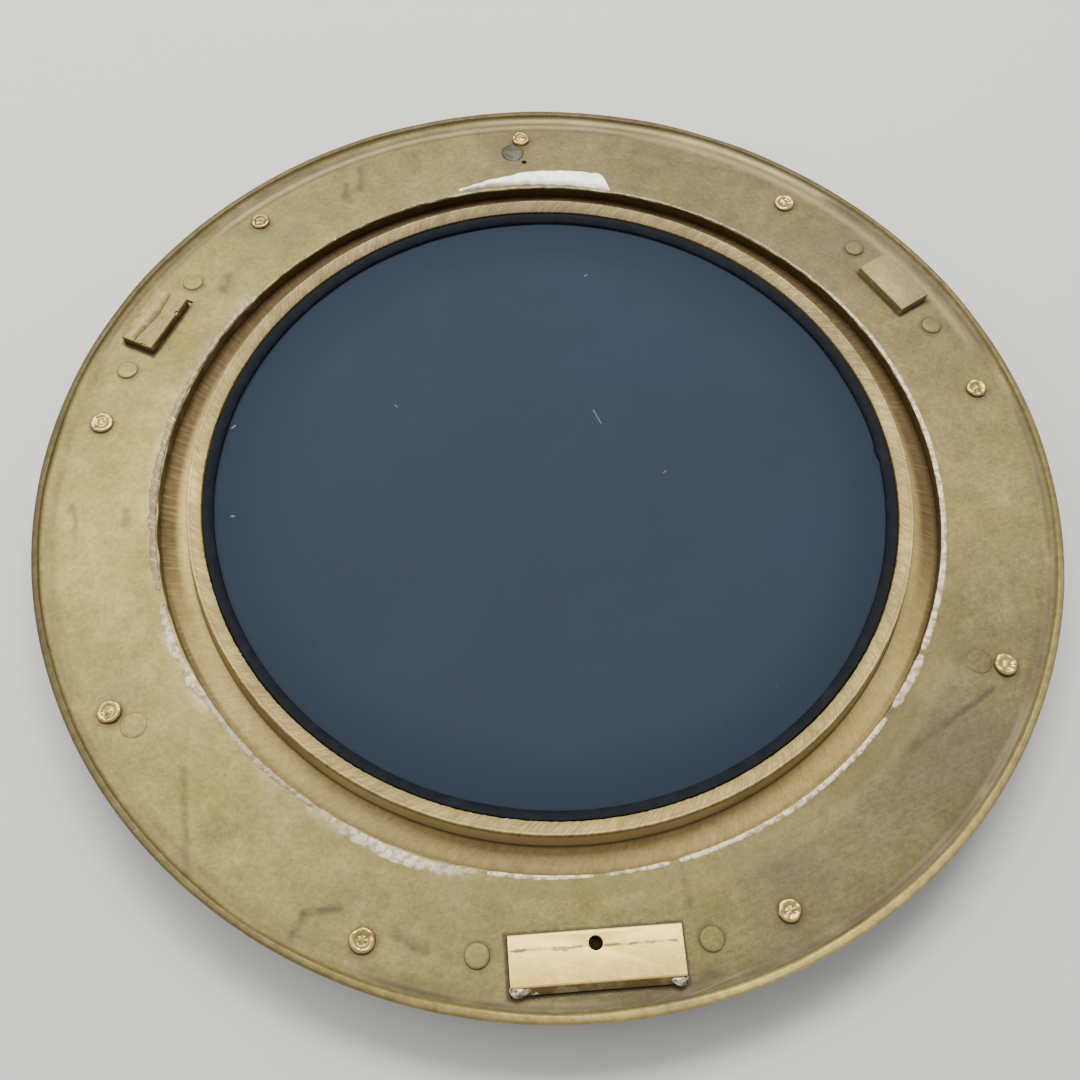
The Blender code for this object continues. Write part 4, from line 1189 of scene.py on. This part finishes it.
# Angle in degrees, inner and outer radius in mm, height in mm, and how worn it is from 0 to 1
BEAD = (
    (109.0, 145.9, 146.6, 0.20, 1.0),
    (125.0, 145.9, 146.6, 0.18, 1.0),
    (146.5, 145.9, 146.9, 0.25, 1.0),
    (148.5, 145.6, 148.6, 0.80, 0.6),
    (151.0, 145.8, 147.9, 0.60, 0.7),
    (165.0, 145.9, 148.2, 0.70, 0.8),
    (186.0, 146.1, 149.0, 0.70, 0.9),
    (197.0, 146.3, 148.9, 0.60, 0.9),
    (203.0, 146.6, 148.9, 0.60, 0.8),
    (206.0, 146.8, 149.4, 0.70, 0.4),
    (211.0, 147.0, 150.6, 0.95, 0.05),
    (213.0, 146.6, 148.7, 0.60, 0.5),
    (216.0, 146.2, 150.2, 0.90, 0.05),
    (219.0, 146.0, 148.0, 0.45, 0.6),
    (239.0, 145.9, 147.6, 0.45, 0.75),
    (242.5, 146.0, 148.0, 0.35, 0.7),
    (246.0, 146.2, 150.3, 0.40, 0.45),
    (252.0, 146.6, 151.3, 0.50, 0.15),
    (258.0, 146.6, 150.4, 0.40, 0.5),
    (262.5, 146.0, 148.2, 0.25, 0.6),
    (264.5, 145.9, 147.4, 0.45, 0.0),
    (270.0, 145.9, 147.5, 0.45, 0.0),
    (277.0, 145.9, 147.1, 0.40, 0.05),
    (287.5, 145.8, 147.3, 0.40, 0.1),
    (290.0, 145.8, 147.5, 0.45, 0.1),
    (305.0, 145.8, 147.6, 0.45, 0.1),
    (322.0, 145.8, 147.7, 0.45, 0.1),
    (326.0, 145.6, 148.2, 0.55, 0.35),
    (332.0, 145.6, 148.6, 0.60, 0.30),
    (336.0, 145.6, 147.8, 0.50, 0.1),
    (360.0, 145.7, 147.7, 0.50, 0.05),
    (372.0, 145.7, 147.8, 0.50, 0.1),
    (390.0, 145.8, 147.4, 0.40, 0.2),
    (398.0, 145.8, 147.2, 0.30, 0.5),
    (420.0, 145.8, 146.8, 0.25, 0.85),
    (440.8, 145.8, 147.0, 0.30, 0.75),
)
# Where the bead is broken: angle and half the gap, in degrees
BEAD_GAPS = (
    (202.0, 0.5),
    (241.5, 0.8),
    (263.4, 0.6),
    (278.0, 0.6),
    (287.6, 0.5),
    (324.0, 0.9),
    (334.3, 0.3),
)


# The bead's domed section from its inner to its outer edge: shares of its width and height
BEAD_SECTION = ((0.0, 0.0), (0.02, 0.55), (0.16, 0.92), (0.42, 1.0), (0.72, 0.82), (0.94, 0.42), (1.0, 0.0))


def kept_runs(keep):
    """The unbroken stretches of places that are kept, without the shortest."""
    runs = [[]]
    for place, kept in enumerate(keep):
        if kept:
            runs[-1].append(place)
        elif runs[-1]:
            runs.append([])
    return [run for run in runs if len(run) > 5]


def make_bead(material):
    """The bead lies on the flange in patches; each is a closed strip of uneven width."""
    step = 0.25
    degrees = np.arange(BEAD[0][0], BEAD[-1][0] + step, step)
    theta = np.radians(degrees)
    table = np.array(BEAD).T
    inner, outer, height, worn = (np.interp(degrees, table[0], table[k]) for k in range(1, 5))
    rough = ripple(theta, 31, 20, 260, 0.35)
    slow = ripple(theta, 32, 6, 50, 0.5)
    width = outer - inner
    outer = outer + width * (0.02 + 0.08 * worn) * (rough + slow)
    inner = inner + (0.02 + 0.05 * worn) * ripple(theta, 33, 20, 240, 0.3)
    height = height * (1.0 + (0.08 + 0.26 * worn) * ripple(theta, 34, 40, 300, 0.3) + 0.12 * slow)
    height = np.clip(height, 0.10, 1.5)
    keep = np.ones(len(degrees), dtype=bool)
    for centre, half in BEAD_GAPS:
        keep &= np.abs(degrees - centre) > half
    keep &= ~((slow < -0.9) & (worn > 0.9) & (width < 1.3))
    points = []
    faces = []
    share = []
    for run in kept_runs(keep):
        faces += tube_faces(len(run), len(BEAD_SECTION), len(points))
        for place, index in enumerate(run):
            ends = min(place, len(run) - 1 - place)
            taper = min(1.0, math.sqrt((ends + 0.3) / 5.0))
            middle = (inner[index] + outer[index]) / 2.0
            half = (outer[index] - inner[index]) / 2.0 * (0.45 + 0.55 * taper)
            for across, rise in BEAD_SECTION:
                r = middle - half + 2.0 * half * across
                z = FLANGE_BACK - 0.05 + height[index] * rise * taper
                points.append(turned(r, theta[index], z))
                share.append(worn[index])
    add_sealant("sealant_bead", points, faces, share, material)


def add_sealant(node, points, faces, worn, material):
    """Makes the piece that stands for a node of sealant; worn is one share for each point."""
    mesh = closed_mesh(node + "_fine", points, faces)
    layer = mesh.attributes.new("worn", "FLOAT", "POINT")
    layer.data.foreach_set("value", np.array(worn, dtype=np.float32))
    add_piece(node + "_fine", mesh, material, "flange", [node], 60.0)


# Outer edge of the filler patch: degrees, radius in mm
FILLER_EDGE = (
    (82.2, 148.0),
    (82.8, 150.5),
    (83.6, 153.6),
    (84.6, 155.3),
    (86.5, 155.8),
    (94.0, 155.2),
    (97.5, 153.9),
    (100.2, 152.0),
    (103.8, 150.4),
    (107.6, 148.9),
)


def make_filler(material):
    """The thick white smear: a low crowned patch with a sharp outer edge and a long tail."""
    columns = 150
    rows = 12
    degrees = np.linspace(FILLER_EDGE[0][0], FILLER_EDGE[-1][0], columns)
    theta = np.radians(degrees)
    shape = np.array(FILLER_EDGE).T
    outer = np.interp(degrees, shape[0], shape[1]) + 0.16 * ripple(theta, 41, 30, 200, 0.5)
    inner = np.interp(degrees, (82.2, 95.0), (147.0, 147.9)) + 0.14 * ripple(theta, 42, 30, 220, 0.4)
    points = []
    for i in range(columns):
        ends = min(1.0, math.sqrt(min(i, columns - 1 - i) / 10.0 + 0.02))
        for j in range(rows + 1):
            s = j / rows
            r = inner[i] + (outer[i] - inner[i]) * s
            crown = (1.0 - abs(2.0 * s - 1.0) ** 3.2) ** 0.6
            lump = 0.14 * math.sin(9.0 * s + 60.0 * theta[i]) + 0.12 * math.sin(41.0 * theta[i] * 3.0 + 2.0)
            narrow = min(1.0, (outer[i] - inner[i]) / 4.0 + 0.35)
            z = FLANGE_BACK - 0.05 + ends * crown * (1.75 + lump) * narrow
            points.append(turned(r, theta[i], z))
    faces = tube_faces(columns, rows + 1)
    add_sealant("filler_patch", points, faces, [0.0] * len(points), material)


# ---------------------------------------------------------------- sash


SASH_PROFILE = [
    (RIDGE_INNER, 26.4, 0.3),
    (131.0, 27.1, 0.0),
    (132.6, 27.7, 0.0),
    (134.3, RIDGE_TOP, 0.6),
    (135.1, 23.0, 0.0),
    (135.7, SASH_BACK, 0.5),
    (148.5, SASH_BACK, 0.2),
    (148.5, 14.9, 0.2),
    (155.5, 14.9, 0.2),
    (155.5, SASH_BACK, 0.2),
    (160.0, SASH_BACK, 0.9),
    (160.0, 12.5, 2.5),
    (158.3, 8.0, 2.5),
    (154.6, 4.2, 2.5),
    (149.6, 1.0, 2.5),
    (145.0, 0.0, 1.5),
    (138.5, 0.0, 1.5),
    (133.5, 1.6, 2.5),
    (128.0, 6.0, 3.0),
    (123.5, 11.0, 3.0),
    (121.5, 13.2, 1.0),
    (121.5, 15.3, 0.2),
    (RIDGE_INNER, 15.3, 0.2),
]


def sash_change(theta, r, z):
    """The top of the ridge is roughly chiselled, most of all along its inner edge."""
    top = np.clip((z - 25.8) / 0.9, 0.0, 1.0)
    inner = np.clip((132.0 - r) / 2.5, 0.0, 1.0)
    saw = ripple(theta, 51, 60, 420, 0.15)
    slow = ripple(theta, 52, 3, 40, 0.5)
    r = r + top * inner * (0.10 * saw + 0.08 * slow)
    z = z - top * np.abs(0.05 * ripple(theta, 53, 60, 400, 0.2) + 0.05 * slow)
    return r, z


def make_sash(material, rubber, slate, mirror):
    mesh = ring_mesh("sash_fine", filleted(SASH_PROFILE, 4), 1080, sash_change)
    add_piece("sash_fine", mesh, material, "sash", ["sash"], 40.0)
    add_piece("sash_fittings", sash_fittings(), material, "sash")
    gasket = [
        (129.05, 26.0, 0.5),
        (129.1, 15.6, 0.1),
        (125.4, 15.6, 0.5),
        (125.4, 17.1, 0.3),
        (127.5, 17.1, 0.0),
        (127.5, 23.4, 0.0),
        (125.2, 23.4, 0.15),
        (125.4, 24.6, 0.6),
        (127.2, 25.6, 0.8),
    ]
    mesh = ring_mesh("gasket_fine", filleted(gasket, 3), 720, gasket_change)
    add_piece("gasket_fine", mesh, rubber, "sash", ["glazing_gasket"], 40.0)
    low = DISC_TOP - 1.45
    profile = [(r, DISC_TOP) for r in (0.0, 40.0, 90.0, 126.9)] + [(127.2, DISC_TOP - 0.3)]
    profile += [(127.2, low + 0.2), (127.0, low), (60.0, low), (0.0, low)]
    mesh = lathe_mesh("disc_fine", profile, 360)
    add_piece("disc_fine", mesh, slate, "sash", ["backing_disc"], 40.0)
    finish_node("mirror_glass", mirror)
    finish_node("port_seal", rubber)


def gasket_change(theta, r, z):
    """The lip of the rubber is cut by hand, so its edge wanders; it is butted at one place."""
    lip = np.clip((128.4 - r) / 2.0, 0.0, 1.0) * (z > 23.0)
    joint = bump(theta, 8.6, 1.1) - 0.8 * bump(theta, 6.4, 0.5)
    r = r + lip * (0.06 * ripple(theta, 61, 3, 30, 0.6) - 0.55 * joint)
    z = z + (z > 24.0) * (0.05 * ripple(theta, 62, 3, 30, 0.6) + 0.25 * np.clip(joint, 0.0, 1.0) * lip)
    return r, z


def finish_node(node, material):
    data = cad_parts[node].data
    data.materials.clear()
    data.materials.append(material)


def sash_fittings():
    """The knuckle and the ears: what is left of the sash without the faces of its ring."""
    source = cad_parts["sash"]
    work = bmesh.new()
    work.from_mesh(source.data)
    bmesh.ops.remove_doubles(work, verts=work.verts, dist=0.000004)
    loose = []
    for face in work.faces:
        centre = face.calc_center_median()
        reach = max(math.hypot(v.co.x, v.co.y) for v in face.verts)
        middle = math.hypot(centre.x, centre.y)
        if (middle < 0.1496 and reach < 0.1605) or reach < 0.1603:
            loose.append(face)
    bmesh.ops.delete(work, geom=loose, context="FACES")
    return mesh_from(work, "sash_fittings")


# ---------------------------------------------------------------- dogs


def dog_matrix(angle):
    """From a frame whose +Z runs along the bolt from the centre of its eye to the world."""
    r, z = DOG_AXIS
    turn = Matrix.Rotation(angle, 4, "Z") @ Matrix.Translation((r * MM, 0.0, z * MM))
    return turn @ Matrix.Rotation(math.pi - DOG_SWUNG_OUT, 4, "Y")


def thread_mesh(name, place):
    """The helical thread of a swing bolt, 1.5 mm in pitch."""
    around = 32
    pitch = 1.5
    low = 8.0
    high = 25.4
    rows = int((high - low) / pitch * 6)
    points = []
    for i in range(rows + 1):
        s = low + (high - low) * i / rows
        fade = min(1.0, (s - low) / 1.0, (high - s) / 0.8)
        for k in range(around):
            turn = (s / pitch - k / around) % 1.0
            tooth = 1.0 - abs(2.0 * turn - 1.0)
            r = 2.92 + 0.30 * tooth * max(fade, 0.0)
            points.append(turned(r, 2.0 * math.pi * k / around, s))
    mesh = closed_mesh(name, points, tube_faces(rows + 1, around))
    mesh.transform(place)
    return mesh


def make_dogs(bright):
    for side, angle in DOG_ANGLES.items():
        for kind, width in (("swing_bolt", 0.3), ("dog_washer", 0.2), ("wing_nut", 0.7)):
            node = f"{kind}_{side}"
            add_piece(node + "_fine", softened_copy(node, width, 3), bright, node, [node])
        name = f"swing_bolt_thread_{side}"
        thread = thread_mesh(name, dog_matrix(angle))
        add_piece(name, thread, bright, f"swing_bolt_{side}", (), 80.0)


# ---------------------------------------------------------------- stage


def make_stage():
    """A pale floor that can be seen from above only, so that views from below work."""
    g = Graph("pale_floor")
    g.colour = g.mix(g.noise(3.0, 3.0, 0.5), (0.45, 0.445, 0.43), (0.48, 0.475, 0.46))
    g.finish(0.8, 0.0, (), 0.2)
    side = g.node("NewGeometry").outputs["Backfacing"]
    clear = g.node("BsdfTransparent").outputs[0]
    blend = g.node("MixShader", side, g.shader.outputs[0], clear)
    g.feed(g.nodes["Material Output"].inputs["Surface"], blend.outputs[0])
    work = bmesh.new()
    bmesh.ops.create_grid(work, x_segments=1, y_segments=1, size=4.0)
    mesh = mesh_from(work, "floor")
    floor = bpy.data.objects.new("floor", mesh)
    floor.location.z = CAD_BOX[0][2] - 0.0001
    bpy.context.scene.collection.objects.link(floor)
    mesh.materials.append(g.material)


def aim(thing, target):
    direction = Vector(target) - thing.location
    thing.rotation_euler = direction.to_track_quat("-Z", "Y").to_euler()


def add_light(name, azimuth, elevation, distance, size, energy, colour):
    """A soft rectangular light aimed at the port; size is its width and its height."""
    data = bpy.data.lights.new(name, "AREA")
    data.shape = "RECTANGLE"
    data.size, data.size_y = size
    data.energy = energy
    data.color = colour
    light = bpy.data.objects.new(name, data)
    a = math.radians(azimuth)
    e = math.radians(elevation)
    light.location = Vector((math.cos(a) * math.cos(e), math.sin(a) * math.cos(e), math.sin(e))) * distance
    bpy.context.scene.collection.objects.link(light)
    aim(light, (0.0, 0.0, 0.02))


def make_lights():
    world = bpy.data.worlds.new("studio")
    bpy.context.scene.world = world
    world.use_nodes = True
    background = world.node_tree.nodes["Background"]
    background.inputs["Color"].default_value = (0.97, 0.98, 1.0, 1.0)
    background.inputs["Strength"].default_value = 0.96
    add_light("key", 92.0, 64.0, 1.4, (1.1, 0.42), 36.0, (1.0, 0.985, 0.95))
    add_light("side", 172.0, 48.0, 1.5, (1.2, 0.9), 12.0, (1.0, 0.985, 0.96))


def make_camera():
    """The photograph's own view, found by fitting a camera to the port's circles."""
    elevation = math.radians(62.8)
    azimuth = math.radians(0.37)
    roll = math.radians(3.0)
    flat = math.cos(elevation)
    forward = Vector((math.sin(azimuth) * flat, math.cos(azimuth) * flat, -math.sin(elevation)))
    right = Vector((math.cos(azimuth), -math.sin(azimuth), 0.0))
    up = right.cross(forward)
    x_axis = math.cos(roll) * right + math.sin(roll) * up
    y_axis = -math.sin(roll) * right + math.cos(roll) * up
    data = bpy.data.cameras.new("camera")
    data.sensor_width = 36.0
    data.lens = FOCAL_IN_IMAGE_WIDTHS * data.sensor_width
    data.clip_start = 0.01
    data.clip_end = 20.0
    camera = bpy.data.objects.new("camera", data)
    turn = Matrix((x_axis, y_axis, -forward)).transposed().to_4x4()
    camera.matrix_world = Matrix.Translation((-0.0047, -0.2183, 0.3975)) @ turn
    bpy.context.scene.collection.objects.link(camera)
    bpy.context.scene.camera = camera


# ---------------------------------------------------------------- assembly


def main():
    cast = flange_material()
    tenons = [block_material(*look) for look in TENON_LOOKS]
    bright = plain_brass("polished_brass", (0.56, 0.42, 0.16), (0.20, 0.36), 0.95)
    dull = plain_brass("tarnished_brass", (0.045, 0.038, 0.022), (0.44, 0.58), 0.35, 0.8)
    rubber = rubber_material()
    sealant = sealant_material("dried_sealant", (0.26, 0.21, 0.105), (0.63, 0.56, 0.39))
    putty = sealant_material("white_filler", (0.80, 0.78, 0.70), (0.95, 0.94, 0.89))
    make_flange(cast)
    make_screws(screw_material())
    make_rivets(cast)
    make_plugs(cast, dull)
    make_brackets(tenons, solder_material(), bright)
    make_bead(sealant)
    make_filler(putty)
    make_sash(sash_material(), rubber, disc_material(), mirror_material())
    make_dogs(bright)
    make_stage()
    make_lights()
    make_camera()


main()
